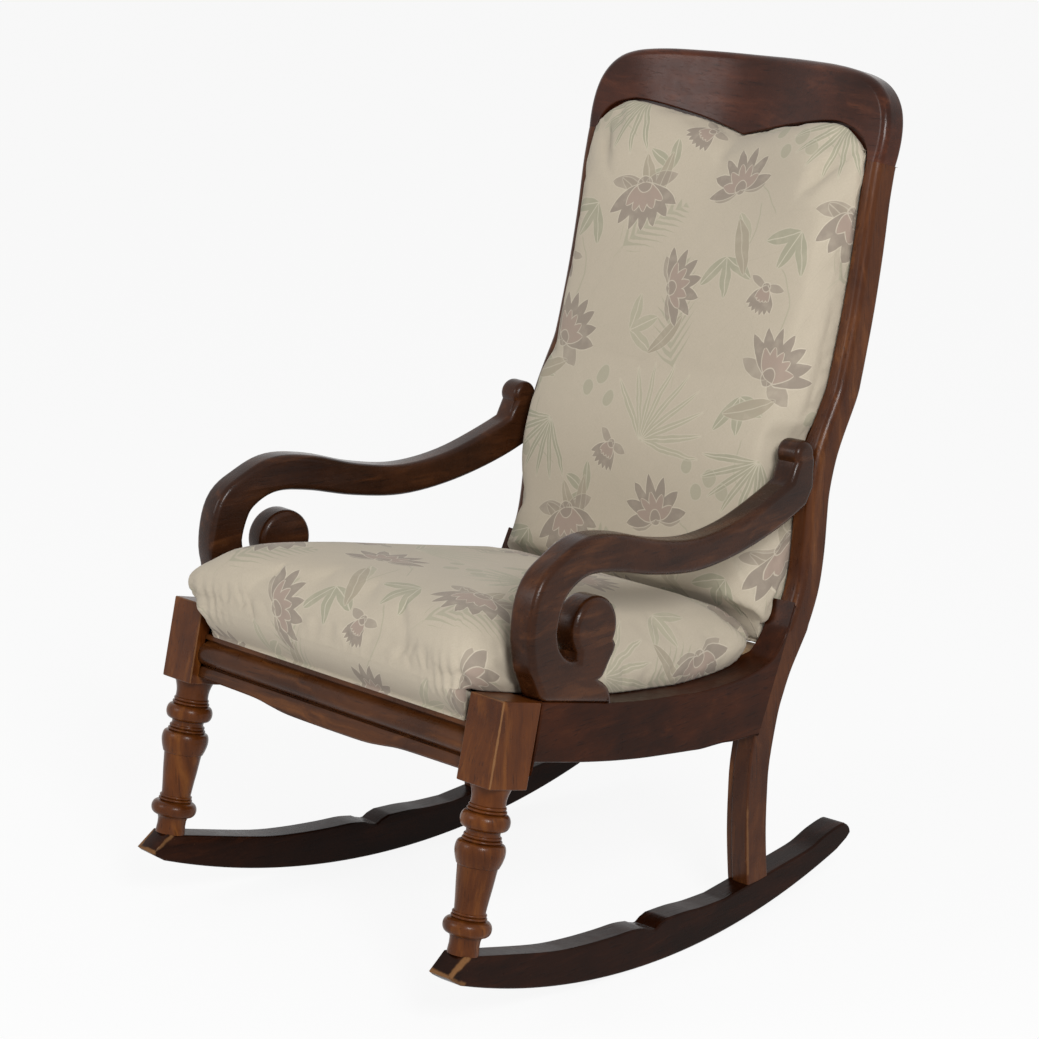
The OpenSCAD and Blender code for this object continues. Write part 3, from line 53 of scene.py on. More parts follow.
class Wire:
    """One output of a shader node. Sums on it add Math nodes; add() makes any other node."""

    def __init__(self, tree, socket=None):
        self.tree = tree
        self.socket = socket

    def add(self, kind, settings=None, values=None, out=0):
        node = self.tree.nodes.new(kind)
        for name, value in (settings or {}).items():
            setattr(node, name, value)
        for name, value in (values or {}).items():
            if isinstance(value, Wire):
                self.tree.links.new(value.socket, node.inputs[name])
            else:
                node.inputs[name].default_value = value
        return Wire(self.tree, node.outputs[out] if node.outputs else None)

    def sum(self, operation, *others):
        """The result of a Math node on this value and the others."""
        return self.add("ShaderNodeMath", {"operation": operation},
                        dict(enumerate((self,) + others)))

    def __add__(self, other):
        return self.sum("ADD", other)

    def __sub__(self, other):
        return self.sum("SUBTRACT", other)

    def __rsub__(self, other):
        return self.add("ShaderNodeMath", {"operation": "SUBTRACT"}, {0: other, 1: self})

    def __mul__(self, other):
        return self.sum("MULTIPLY", other)

    def __truediv__(self, other):
        return self.sum("DIVIDE", other)

    def __pow__(self, other):
        return self.sum("POWER", other)

    def __abs__(self):
        return self.sum("ABSOLUTE")

    __radd__ = __add__
    __rmul__ = __mul__

    def step(self, low, high):
        """0 below low and 1 above high, and the other way round if low is the larger."""
        return self.add("ShaderNodeMapRange", {"interpolation_type": "SMOOTHSTEP"},
                        {0: self, 1: low, 2: high, 3: 0, 4: 1})

    def tint(self, under, over):
        """The colour under, turned to the colour over where this value is 1."""
        under = under if isinstance(under, Wire) else (*under, 1)
        over = over if isinstance(over, Wire) else (*over, 1)
        return self.add("ShaderNodeMix", {"data_type": "RGBA"}, {0: self, 6: under, 7: over}, 2)

    def vector(self, operation, *others, out=0):
        """The same with a Vector Math node."""
        return self.add("ShaderNodeVectorMath", {"operation": operation},
                        dict(enumerate((self,) + others)), out)

    def most(self, other):
        return self.sum("MAXIMUM", other)

    def parts(self):
        """A vector's x, y and z."""
        split = self.add("ShaderNodeSeparateXYZ", values={0: self}).socket.node
        return [Wire(self.tree, part) for part in split.outputs]

    def noise(self, scale, detail, roughness=0.5):
        """Cloudy noise, read at this place."""
        return self.add("ShaderNodeTexNoise", values={
            "Vector": self, "Scale": scale, "Detail": detail, "Roughness": roughness})


def new_tree(name):
    finish = bpy.data.materials.new(name)
    finish.use_nodes = True
    finish.node_tree.nodes.clear()
    return finish, Wire(finish.node_tree)


def white_to_the_eye(start):
    """1 for what the camera sees, also in polish and glass, and 0 for light on the chair."""
    rays = start.add("ShaderNodeLightPath").socket.node.outputs
    camera_ray, glossy, through = [Wire(start.tree, rays[name]) for name in (
        "Is Camera Ray", "Is Glossy Ray", "Is Transmission Ray")]
    return camera_ray.most(glossy).most(through)


bpy.ops.object.select_all(action="DESELECT")
bpy.ops.mesh.primitive_plane_add(size=80, location=(0, 0, 0))
floor = bpy.context.object
floor.name = "studio_floor"
floor_paint, start = new_tree("floor_paint")
lit = start.add("ShaderNodeBsdfDiffuse", values={"Color": (0.86, 0.86, 0.86, 1)})
bright = start.add("ShaderNodeEmission", values={"Color": (1, 1, 1, 1), "Strength": 1.0})
floor_mix = start.add("ShaderNodeMixShader",
                      values={0: white_to_the_eye(start) * 0.9, 1: lit, 2: bright})
start.add("ShaderNodeOutputMaterial", values={"Surface": floor_mix})
floor.data.materials.append(floor_paint)

world = bpy.data.worlds.new("studio_world")
bpy.context.scene.world = world
world.use_nodes = True
world.node_tree.nodes.clear()
start = Wire(world.node_tree)
seen_white = start.add("ShaderNodeBackground", values={"Color": (1, 1, 1, 1), "Strength": 1.0})
room = start.add("ShaderNodeBackground", values={"Color": (1, 1, 1, 1), "Strength": 0.42})
room_mix = start.add("ShaderNodeMixShader", values={0: white_to_the_eye(start), 1: room,
                                                    2: seen_white})
start.add("ShaderNodeOutputWorld", values={"Surface": room_mix})

aimed_at = Vector((0, 0, 0.45))
for lamp_name, place, width, watts in (
        ("key_lamp", (2.85, -1.55, 2.25), 1.1, 88),
        ("left_lamp", (-1.4, -3.4, 2.3), 1.6, 34)):
    lamp = bpy.data.lights.new(lamp_name, "AREA")
    lamp.shape = "DISK"
    lamp.size = width
    lamp.energy = watts
    holder = bpy.data.objects.new(lamp_name, lamp)
    holder.location = place
    holder.rotation_euler = (aimed_at - Vector(place)).to_track_quat("-Z", "Y").to_euler()
    bpy.context.scene.collection.objects.link(holder)

# Rockers: two bow-shaped planks of mahogany, 34 mm thick, each with a slanted tip, a notch in
# its upper edge and a flat seat for each leg. They run inwards towards the rear.
middle_y = 345.08


def placed(x, y, z):
    """A point of the chair in millimetres, y from the front legs' rings, as the frame has it."""
    return (x / 1000, (y - middle_y) / 1000, z / 1000)


def curve(points, n):
    """A smooth line through the points, with n steps from each to the next."""
    made = []
    for i in range(len(points) - 1):
        a, b = points[max(i - 1, 0)], points[i]
        c, d = points[i + 1], points[min(i + 2, len(points) - 1)]
        for k in range(n):
            t = k / n
            made.append(tuple(0.5 * (2 * q + (r - p) * t + (2 * p - 5 * q + 4 * r - s) * t * t
                                     + (3 * q - p - 3 * r + s) * t ** 3)
                              for p, q, r, s in zip(a, b, c, d)))
    return made + [tuple(points[-1])]


def choose(*pieces):
    """Selects only these pieces, so that the next step acts on them. The first one is active."""
    bpy.ops.object.select_all(action="DESELECT")
    for piece in pieces:
        piece.select_set(True)
    bpy.context.view_layer.objects.active = pieces[0]


def apply(piece, kind, name, **settings):
    """Gives a piece a modifier and applies it."""
    choose(piece)
    modifier = piece.modifiers.new(name, kind)
    for setting, value in settings.items():
        setattr(modifier, setting, value)
    bpy.ops.object.modifier_apply(modifier=name)


def smooth(piece, angle=38):
    """Rounded parts shade smoothly, and flat faces keep their own direction."""
    choose(piece)
    bpy.ops.object.shade_smooth_by_angle(angle=math.radians(angle))
    apply(piece, "WEIGHTED_NORMAL", "even", keep_sharp=True)
    return piece


def closed(piece, gap):
    """Merges points that lie closer than the gap, and turns all faces outwards."""
    choose(piece)
    bpy.ops.object.mode_set(mode="EDIT")
    bpy.ops.mesh.select_all(action="SELECT")
    bpy.ops.mesh.remove_doubles(threshold=gap)
    bpy.ops.mesh.normals_make_consistent(inside=False)
    bpy.ops.object.mode_set(mode="OBJECT")
    return piece


def sawn_board(name, outline, thickness, r):
    """A board sawn to an outline in the side view, its arrises rounded by r, standing on x = 0."""
    flat = bpy.data.curves.new(name, "CURVE")
    flat.dimensions = "2D"
    flat.fill_mode = "BOTH"
    line = flat.splines.new("POLY")
    line.points.add(len(outline) - 1)
    for point, (y, z) in zip(line.points, outline):
        point.co = (y / 1000, z / 1000, 0, 1)
    line.use_cyclic_u = True
    flat.extrude = (thickness / 2 - r) / 1000
    flat.bevel_depth = r / 1000
    flat.bevel_resolution = 4
    flat.offset = -r / 1000
    board = bpy.data.objects.new(name, flat)
    bpy.context.scene.collection.objects.link(board)
    choose(board)
    bpy.ops.object.convert(target="MESH")
    board = bpy.context.object
    board.data.transform(Matrix(((0, 0, 1, 0), (1, 0, 0, 0), (0, 1, 0, 0), (0, 0, 0, 1))))
    return closed(board, 0.00002)


def painted(piece, paint):
    """Leaves a piece with this one material."""
    piece.data.materials.clear()
    piece.data.materials.append(paint)


def finished(piece, paint, slot, *nodes):
    """Gives a piece its finish and body, and hides the solids it stands for."""
    painted(piece, paint)
    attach(piece, "root")
    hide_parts(*nodes)


def both_sides(right, left_name, paint, right_node, left_node):
    """Finishes a wooden piece, and its mirrored copy for the chair's left side."""
    left = right.copy()
    left.data = right.data.copy()
    left.name = left_name
    bpy.context.scene.collection.objects.link(left)
    left.data.transform(Matrix.Scale(-1, 4, (1, 0, 0)))
    left.data.flip_normals()
    finished(right, paint, "polished_wood", right_node)
    finished(left, paint, "polished_wood", left_node)


def new_finish(name):
    """A new material, and the place on the piece that wears it."""
    paint, start = new_tree(name)
    return paint, start.add("ShaderNodeTexCoord", out=3)


def surface(start, colour, roughness, others, bump=None):
    """Ends a finish. The bump is a height, its strength and its depth in metres."""
    values = {"Base Color": colour, "Roughness": roughness, **others}
    if bump:
        bump = dict(zip(("Height", "Strength", "Distance"), bump))
        values["Normal"] = start.add("ShaderNodeBump", values=bump)
    shader = start.add("ShaderNodeBsdfPrincipled", values=values)
    start.add("ShaderNodeOutputMaterial", values={"Surface": shader})


def polished(name, dark, mid, light, along, worn=(), gloss=0.3, shine=0.14):
    """Polished mahogany: long fibres along one axis, cloudy stain, pores, rubbed arrises."""
    paint, place = new_finish(name)
    long = [26, 26, 26]
    long[along] = 1.6
    fibres = place.vector("MULTIPLY", tuple(long))
    cloud = place.noise(9.0, 5.0, 0.6)
    grain = fibres.vector("ADD", place.noise(5.0, 3.0) * 1.6).noise(2.2, 6.0, 0.62)
    pores = fibres.noise(17.0, 2.0)
    body = (cloud * 0.55 + grain * 0.45).step(0.3, 0.7)
    colour = body.tint(dark, mid)
    colour = (grain.step(0.52, 0.74) * 0.55).tint(colour, light)
    colour = (pores.step(0.6, 0.72) * 0.5).tint(colour, tuple(c * 0.35 for c in dark))
    scuffs = place.noise(95.0, 3.0)
    nicks = place.add("ShaderNodeTexVoronoi", values={"Vector": place, "Scale": 130.0})
    marks = (nicks.step(0.085, 0.04) * cloud.step(0.55, 0.66)) * 0.35
    if worn:
        x, y, z = place.parts()
        either_side = place.add("ShaderNodeCombineXYZ", values={0: abs(x), 1: y, 2: z})
        for first, last, width, amount in worn:
            a, b = Vector(placed(*first)), Vector(placed(*last))
            run, length, end = tuple((b - a).normalized()), (b - a).length, 0.002
            off = either_side.vector("SUBTRACT", tuple(a))
            gap = off.vector("CROSS_PRODUCT", run).vector("LENGTH", out=1)
            gap = gap + (scuffs - 0.5) * (width / 900)
            gone = off.vector("DOT_PRODUCT", run, out=1)
            inside = gone.step(-end, end) * gone.step(length + end, length - end)
            marks = marks.most(gap.step(width / 1000, width / 2600) * inside * amount)
    colour = marks.tint(colour, (0.19, 0.09, 0.035))
    rough = (scuffs * 0.16 + cloud * 0.22 + (gloss - 0.19)).most(0.12) + marks * 0.25
    height = grain * 0.25 + pores.step(0.5, 0.75) * -0.35 + cloud * 0.8 + marks * -0.5
    surface(place, colour, rough, {"Specular IOR Level": shine, "Coat Weight": 0.05,
                                   "Coat Roughness": 0.14}, (height, 0.22, 0.0012))
    return paint


rocker_t, rocker_r, contact_y, rocker_toe = 34, 935, 315, 3.42
leg_x = 256
under = [(y, rocker_r - math.sqrt(rocker_r ** 2 - (y - contact_y) ** 2))
         for y in range(-3, 615, 12)]
rocker_outline = ([(-42, 77), (-37.5, 72.5), (-25, 64)] + under
                  + [(617, 51.5), (628, 57), (635, 63)]
                  + curve([(635, 63), (633, 70), (627, 75.5), (618, 78), (589, 72.5), (561, 63.5),
                           (528, 58.5)], 4)[1:]
                  + [(487, 53.5), (441, 47)]
                  + curve([(403, 42.5), (364, 43.5), (333, 46.5), (301, 47.5)], 4)
                  + [(291, 44.5), (284, 40.5), (280, 40.5), (272, 43)]
                  + curve([(266, 46), (245, 49.5), (212, 51), (163, 55), (115, 62), (44, 79)], 4)
                  + [(16, 86), (-18.5, 94.3)])
right_rocker = sawn_board("right_bow_rocker", rocker_outline, rocker_t, 2.6)
right_rocker.data.transform(Matrix.Translation(placed(leg_x, 0, 0))
                            @ Matrix.Rotation(math.radians(rocker_toe), 4, "Z"))
smooth(right_rocker)
rocker_polish = polished("rocker_polish", (0.006, 0.0018, 0.0005), (0.02, 0.0049, 0.0014),
                         (0.04, 0.0107, 0.0031), 1,
                         worn=[((239, -41, 79), (239, -12, 95), 4, 0.8),
                               ((273, -41, 79), (273, -12, 95), 5, 0.95),
                               ((273, -42, 78), (273, -20, 64), 4, 0.7),
                               ((239, -42, 78), (273, -42, 78), 5, 0.9)],
                         shine=0.05)
both_sides(right_rocker, "left_bow_rocker", rocker_polish, "right_rocker", "left_rocker")

# Front legs: each is one piece of mahogany, turned below and left as a square block above.
# The leg leans back by 13.2 degrees and stands on its rocker on a round tenon.
lean = math.radians(13.2)
block_top_y, block_top_z = 29.39, 365.75
block_w, block_d, block_h = 52, 55, 94
ring_z = 120


def seat_frame(x, d, t):
    """A point given by its depth behind the block's face and its height over the block's top."""
    return placed(x, block_top_y + d * math.cos(lean) + t * math.sin(lean),
                  block_top_z - d * math.sin(lean) + t * math.cos(lean))


def skin(name, rings):
    """A grid wrapped round the rings, and closed at each end by a point in the ring's middle."""
    ends = [[tuple(sum(c) / len(ring) for c in zip(*ring))] * len(ring)
            for ring in (rings[0], rings[-1])]
    rings = [ends[0]] + rings + [ends[1]]
    bpy.ops.object.select_all(action="DESELECT")
    bpy.ops.mesh.primitive_grid_add(x_subdivisions=len(rings[0]), y_subdivisions=len(rings) - 1)
    wrap = bpy.context.object
    wrap.name = wrap.data.name = name
    places = [c for ring in rings for point in list(ring) + [ring[0]] for c in point]
    wrap.data.vertices.foreach_set("co", places)
    return closed(wrap, 0.000004)


def joined(name, *parts):
    """Makes one piece of several."""
    choose(*parts)
    bpy.ops.object.join()
    parts[0].name = parts[0].data.name = name
    return parts[0]


def ring_bead(s0, s1, r0, r1):
    """A turned bead from s0 to s1 along the leg, r0 in radius at its foot and r1 at its top."""
    return [((s0 + s1) / 2 - (s1 - s0) / 2 * math.cos(math.pi * k / 12),
             r0 + (r1 - r0) * math.sin(math.pi * k / 12) ** 0.8) for k in range(13)]


turning = ([(-30, 17.3), (-24, 16.8), (-20, 16.4), (-14, 16.6), (-9.6, 17.8)]
           + ring_bead(-9, 8, 18.4, 26.5) + ring_bead(8.6, 12, 17.6, 19.7)
           + ring_bead(12.4, 15.6, 17.3, 18.9)
           + curve([(17, 17.1), (30, 18.3), (45, 20), (58, 21.2), (64, 21.8)], 4)
           + [(65.2, 21.9), (65.8, 23.2), (67, 23.7)]
           + curve([(67.6, 23.9), (73, 25.8), (80, 27.2), (86, 26.9), (90, 25.2), (91.2, 22)], 4)
           + ring_bead(91.4, 95, 19.6, 21.9) + ring_bead(95.3, 99, 18.8, 20.6)
           + curve([(99.4, 18.7), (102, 18.4), (104.6, 19.2)], 3)
           + ring_bead(105, 123, 20, 27) + ring_bead(123.4, 127, 19, 21.6)
           + ring_bead(127.3, 131, 18.7, 20.4)
           + curve([(131.4, 19), (138, 18.9), (145, 20.3), (152.6, 23)], 4))
up, away = math.cos(lean), math.sin(lean)
around = [math.tau * k / 64 for k in range(64)]
rings = [[placed(leg_x + r * math.cos(a), s * away + r * math.sin(a) * up,
                 ring_z + s * up - r * math.sin(a) * away) for a in around] for s, r in turning]
turned = smooth(skin("right_turned_leg", rings), 50)
bpy.ops.object.select_all(action="DESELECT")
bpy.ops.mesh.primitive_cube_add(size=1)
block = bpy.context.object
block.data.transform(Matrix.Diagonal((block_w / 1000, block_d / 1000, block_h / 1000, 1)))
block.data.transform(Matrix.Translation(seat_frame(leg_x, block_d / 2, -block_h / 2))
                     @ Matrix.Rotation(-lean, 4, "X"))
apply(block, "BEVEL", "ease", width=0.0016, segments=4, limit_method="ANGLE",
      angle_limit=math.radians(32), use_clamp_overlap=True)
right_leg = joined("right_turned_leg", turned, smooth(block))
leg_polish = polished("leg_polish", (0.042, 0.0103, 0.0022), (0.115, 0.032, 0.0053),
                      (0.2, 0.0697, 0.0124), 2,
                      worn=[((282, 29.4, 365.5), (282, 8.5, 274.5), 2.0, 0.9),
                            ((230, 29.4, 365.5), (230, 8.5, 274.5), 1.5, 0.5),
                            ((230, 29.4, 365.7), (282, 29.4, 365.7), 1.6, 0.5)])
both_sides(right_leg, "left_turned_leg", leg_polish, "right_front_leg", "left_front_leg")

# Back posts: each is sawn in one curved piece, sabre leg below and stile above, 34 mm square.
# Above the seat its inner front edge is rebated 8 mm deep for the upholstery.
post_line = [(40, 462), (75, 459.7), (110, 458.5), (151, 459.7), (190, 463), (245, 476),
             (270.7, 485.6), (295, 497), (318, 511), (340, 525), (362, 536.2), (385, 545),
             (409.5, 550.4), (435, 554), (461.7, 556.3), (488, 559), (512.5, 564.7), (535, 572),
             (554.6, 580.8), (572, 590), (602, 606), (620.4, 612.1), (642, 618), (697, 632),
             (760, 645), (815, 654), (838.8, 659), (860, 664), (895, 673.5)]
fine_post_line = curve(post_line, 3)
post_half = 17
foot_x, foot_y, foot_z = 228, 461.4, 48.6
joint_x, joint_y, joint_z = 221, 664, 860
foot_slope = math.tan(math.radians(9.06))
tilt = math.radians(15)


def level(line, at):
    """Reads a line of (place, value) points between its points."""
    for (a0, b0), (a1, b1) in zip(line, line[1:]):
        if at <= a1:
            return b0 + (b1 - b0) * (at - a0) / (a1 - a0)
    return line[-1][1]


def post_y(z):
    return level(fine_post_line, z)


def post_grow(z):
    """How much longer than square to it a level cut through the sloping post is."""
    return math.sqrt(1 + ((post_y(z + 6) - post_y(z - 6)) / 12) ** 2)


def post_x(z):
    return foot_x + (joint_x - foot_x) * (z - foot_z) / (joint_z - foot_z)


def face_w(z):
    """Width of the post's face beside the rebate, which narrows above the arms."""
    return 19 + 6 * min(1, (joint_z - z) / 361)


def frame_section(face, full, r_front, r_back, step):
    """Section of posts and crest rail: distance in from the outer edge, and depth place."""
    def quarter(u, v, r, first):
        return [(u + r * math.cos(math.radians(a)), v + r * math.sin(math.radians(a)))
                for a in range(first, first + 91, 15)]
    return (quarter(r_back, post_half - r_back, r_back, 90)
            + quarter(r_front, r_front - post_half, r_front, 180)
            + quarter(face - 2.4, 2.4 - post_half, 2.4, 270)
            + [(face, step - post_half), (full - 0.6, step - post_half),
               (full, step - post_half + 0.6), (full, post_half - 1.5),
               (full - 1.5, post_half)])


def bow(low, high, t):
    """Goes smoothly from low, where t is 0 or less, to high, where it is 1 or more."""
    t = max(0, min(1, t))
    return low + (high - low) * t * t * (3 - 2 * t)


rings = []
rebate_z = 334
heights = ([44 + k * 7 for k in range(42)] + [rebate_z, 336.4, 338.6, 341]
           + [346 + k * 7.2 for k in range(74)])
for z in heights:
    upper = bow(0, 1, (z - rebate_z) / 7)
    ring = []
    for p, q in frame_section(face_w(z), 2 * post_half, 2.4 + 7.6 * upper, 2.2 + 1.5 * upper,
                              2.5 + 5.5 * upper):
        y = post_y(z) + q * post_grow(z)
        on_rocker = foot_z + (y - foot_y) * foot_slope
        under_crest = joint_z - (y - joint_y) * math.tan(tilt) - 0.05
        ring.append(placed(post_x(z) + post_half - p, y, max(on_rocker, min(under_crest, z))))
    rings.append(ring)
right_post = smooth(skin("right_stile_and_leg", rings), 40)
post_polish = polished("post_polish", (0.034, 0.0086, 0.0026), (0.1, 0.0303, 0.0077),
                       (0.19, 0.0697, 0.0198), 2,
                       worn=[((211, 445, 60), (211, 441, 190), 2.2, 0.6),
                             ((245, 445, 60), (245, 441, 190), 2.2, 0.6)])
both_sides(right_post, "left_stile_and_leg", post_polish, "right_back_post", "left_back_post")

# Crest rail: a sawn and carved arch with rounded shoulders. Its face is hollowed from side to
# side, its lower edge bows up to a point in the middle, and its front arrises are well rounded.
outer = curve([(238, 0), (239.5, 15), (239.5, 32), (237, 50), (231, 67), (220, 82), (205, 93),
               (186, 100), (162, 104.5), (130, 108), (97, 110), (65, 111.5), (33, 112.3),
               (0, 112.5)], 5)
inner = curve([(219, 0), (216.5, 12), (210, 22), (202, 29), (192, 34.5), (180, 38), (168, 40.5),
               (155, 41), (138, 40), (115, 37.5), (90, 34), (62, 29.5), (32, 23), (0, 15)], 5)


def dish(x):
    """How far back the hollow of crest rail and back lies at x."""
    return 26 * (0.5 + 0.5 * math.cos(math.pi * min(1, abs(x) / 204)))


half = []
for o, i in zip(outer, inner):
    run = math.dist(o, i)
    u = ((i[0] - o[0]) / run, (i[1] - o[1]) / run)
    ring = []
    for p, q in frame_section(run, run + 15, 10, 5, 8):
        x, v, depth = o[0] + u[0] * p, o[1] + u[1] * p, q + dish(o[0] + u[0] * p)
        ring.append(placed(x, joint_y + depth * math.cos(tilt) + v * math.sin(tilt),
                           joint_z - depth * math.sin(tilt) + v * math.cos(tilt)))
    half.append(ring)
other = [[(-x, y, z) for x, y, z in ring] for ring in half[-2::-1]]
crest = smooth(skin("arched_crest_rail", half + other), 40)
crest_polish = polished("crest_polish", (0.02, 0.0051, 0.002), (0.068, 0.0172, 0.0071),
                        (0.115, 0.0353, 0.0149), 0, gloss=0.27, shine=0.16)
finished(crest, crest_polish, "polished_wood", "crest_rail")

# Arms: each is sawn from one 34 mm board as a scroll: a foot on block and side rail, a band that
# bows over the volute, and a rise to a small roll at the post. All its arrises are well rounded.
band = curve([(95, 384, 49), (84.5, 419.5, 45), (95.5, 463, 48), (121.5, 484.5, 42),
              (158, 496, 42.5), (207, 490, 42), (270.5, 473, 39), (339, 463, 37.5),
              (411, 469, 38), (485.5, 489, 42), (550, 515, 42)], 6)
front_edge, inner_edge = [], []
for k, (y, z, w) in enumerate(band):
    (y0, z0, _), (y1, z1, _) = band[max(k - 1, 0)], band[min(k + 1, len(band) - 1)]
    run = math.hypot(y1 - y0, z1 - z0)
    out = (-(z1 - z0) / run, (y1 - y0) / run)
    front_edge.append((y + out[0] * w / 2, z + out[1] * w / 2))
    inner_edge.append((y - out[0] * w / 2, z - out[1] * w / 2))
knob_y, knob_r = 527, 16.5


def part_circle(y, z, r, angles):
    return [(y + r * math.cos(math.radians(a)), z + r * math.sin(math.radians(a)))
            for a in angles]


scroll = part_circle(167, 416, 35, range(-30, 231, 8))
roll = part_circle(knob_y, 543.5, knob_r, range(204, -5, -8))


def seat_line(y):
    """Height of the plane through the tops of block and side rail."""
    return block_top_z - (y - block_top_y) * math.tan(lean)


gap_edge = [p for p in inner_edge if p[1] > 421 and (p[0] > 107 or p[1] > 430)]
rear_top = [p for p in front_edge if p[0] < knob_y - knob_r * 1.02]
arm_outline = ([p for p in rear_top if p[1] > 392]
               + roll + [(545.5, 536), (544.3, 520), (543.7, 503)]
               + [p for p in gap_edge if p[0] < 541][::-1]
               + curve([(107.5, 424), (108, 417), (110.5, 407), (118, 396.5), (130, 389),
                        (141, 387.6)], 3)[:-1]
               + [p for p in scroll[::-1] if p[1] > 391.5 or p[0] > 170]
               + curve([(201, 392), (197.5, 383.5), (189.5, 373.5), (180, 360.5),
                        (174.6, 357.4)], 3)
               + curve([(174.8, 357.2), (182, 352.5), (188.5, 346), (192.5, 337), (194, 327)], 3)
               + [(87, seat_line(87))]
               + curve([(80.5, 358), (74, 372), (66, 388)], 3))
right_arm = sawn_board("right_scroll_arm", arm_outline[::-1], 34, 7.5)
splay_y, arm_mid_x, arm_splay = 82.94, 267, 0.0814


def fitted_to_post(board):
    """Stops a board just in front of the back post."""
    for point in board.data.vertices:
        z = point.co.z * 1000
        point.co.y = min(point.co.y, (post_y(z) - (post_half + 0.2) * post_grow(z)) / 1000)


def splayed(board, x, slope):
    """Stands a board at x over the front leg and turns it inwards to the rear."""
    board.data.transform(Matrix.Translation(placed(x, splay_y, 0))
                         @ Matrix.Rotation(math.atan(slope), 4, "Z")
                         @ Matrix.Translation((0, -splay_y / 1000, 0)))


for point in right_arm.data.vertices:
    point.co.z = max(point.co.z, seat_line(point.co.y * 1000) / 1000)
fitted_to_post(right_arm)
splayed(right_arm, arm_mid_x, arm_splay)
smooth(right_arm, 42)
arm_polish = polished("arm_polish", (0.016, 0.0048, 0.0015), (0.05, 0.0152, 0.0046),
                      (0.1, 0.0344, 0.0105), 1, gloss=0.27)
both_sides(right_arm, "left_scroll_arm", arm_polish, "right_arm", "left_arm")

# Side seat rails: 44 mm planks tenoned into block and post. The lower edge sags towards the
# rear, and the upper edge sweeps up into a horn against the post.
rail_low = curve([(70, 290.3), (115, 279), (157, 269), (202, 259.4), (248, 251), (296, 243.8),
                  (331, 238.8), (352, 236), (388, 234), (415, 230.5), (473, 227.9), (521, 226.8)],
                 4)
rail_high = curve([(200, 325.7), (247, 317.1), (315, 308), (351, 303.6), (404, 302.1),
                   (440, 303.9), (467.5, 309), (481, 315), (494.5, 327.9), (505, 341.3),
                   (511.6, 354), (519, 371)], 4)
rail_t, rail_out_x, rail_splay, rail_drop = 44, 282, 0.09, 79
front_foot = (block_top_y + block_d * math.cos(lean) - rail_drop * math.sin(lean),
              block_top_z - block_d * math.sin(lean) - rail_drop * math.cos(lean))
rail_outline = ([front_foot] + [p for p in rail_low if p[0] > front_foot[0] + 4]
                + rail_high[::-1] + [(140, seat_line(140)), (82.9, seat_line(82.94))])
right_rail = sawn_board("right_seat_rail", rail_outline, rail_t, 2.2)
fitted_to_post(right_rail)
splayed(right_rail, rail_out_x - rail_t / 2, rail_splay)
for point in right_rail.data.vertices:
    horn = bow(0, 1, (point.co.z - 0.3085) / 0.008)
    point.co.x = max(point.co.x, point.co.x + (0.2113 - point.co.x) * horn)
smooth(right_rail, 42)
rail_polish = polished("rail_polish", (0.014, 0.0037, 0.001), (0.043, 0.0103, 0.0026),
                       (0.075, 0.0205, 0.0056), 1, gloss=0.34, shine=0.06)
both_sides(right_rail, "left_seat_rail", rail_polish, "right_side_rail", "left_side_rail")

# Front seat rail: tenoned between the blocks. Under the fabric its face carries a groove and a
# torus moulding, and its lower edge is cut to a shallow bracket.
front_half = 229.7
low_edge = curve([(0, -93), (64, -92.5), (96, -89.8), (126, -86.6), (184, -85.6),
                  (front_half, -85.2)], 5)
moulding = ([(46, -6), (19.6, -6), (19, -6.6), (19, -33.5), (12.6, -34.2), (12, -35), (12, -39.2),
             (12.5, -40), (15.8, -40.8), (16.2, -41.6), (15.6, -43)]
            + curve([(13.6, -44.4), (9.4, -47.6), (6.2, -52.4), (5, -57.4), (5.6, -62.6),
                     (8.6, -67), (13.4, -70)], 4)
            + [(15.6, -71), (15.8, -71.8), (13, -72.6)])
rings = []
for x in [-front_half + 2 * front_half * k / 64 for k in range(65)]:
    bottom = level(low_edge, abs(x))
    section = moulding + [(11.3, -75.5), (10.5, (-77 + bottom) / 2), (10.3, bottom + 2),
                          (11.9, bottom), (45, bottom), (46, bottom + 1)]
    rings.append([seat_frame(x, d, t) for d, t in section])
front_rail = smooth(skin("moulded_front_rail", rings), 36)
front_polish = polished("front_polish", (0.03, 0.0086, 0.0022), (0.09, 0.0279, 0.0065),
                        (0.17, 0.059, 0.0136), 0,
                        worn=[((-229, 10, 352), (229, 10, 352), 1.0, 0.3)])
finished(front_rail, front_polish, "polished_wood", "front_rail")

# Inner frame: rear rail, lower back rail and corner blocks of unpolished beech, with dowels and
# screws. They keep the frame's own solids and get their wood and steel here.
bare_wood, place = new_finish("bare_beech")
fibres = place.vector("MULTIPLY", (3, 30, 30)).noise(3.0, 6.0)
flecks = place.vector("MULTIPLY", (25, 220, 220)).noise(2.5, 2.0)
colour = fibres.step(0.3, 0.7).tint((0.36, 0.23, 0.125), (0.5, 0.35, 0.2))
colour = (flecks.step(0.56, 0.66) * 0.4).tint(colour, (0.24, 0.14, 0.07))
surface(place, colour, fibres * 0.2 + 0.55, {"Specular IOR Level": 0.3},
        (fibres + flecks * 0.6, 0.2, 0.001))
steel, place = new_finish("spring_steel")
spots = place.noise(160.0, 4.0)
rust = spots.step(0.56, 0.7)
surface(place, rust.tint((0.42, 0.41, 0.39), (0.16, 0.075, 0.035)),
        spots * 0.3 + 0.25 + rust * 0.25, {"Metallic": 1 - rust * 0.85})
for node_name in ("rear_rail", "lower_back_rail", "front_left_corner_block",
                  "front_right_corner_block", "rear_left_corner_block",
                  "rear_right_corner_block", "arm_dowels", "crest_dowels"):
    painted(cad[node_name], bare_wood)
painted(cad["corner_block_screws"], steel)

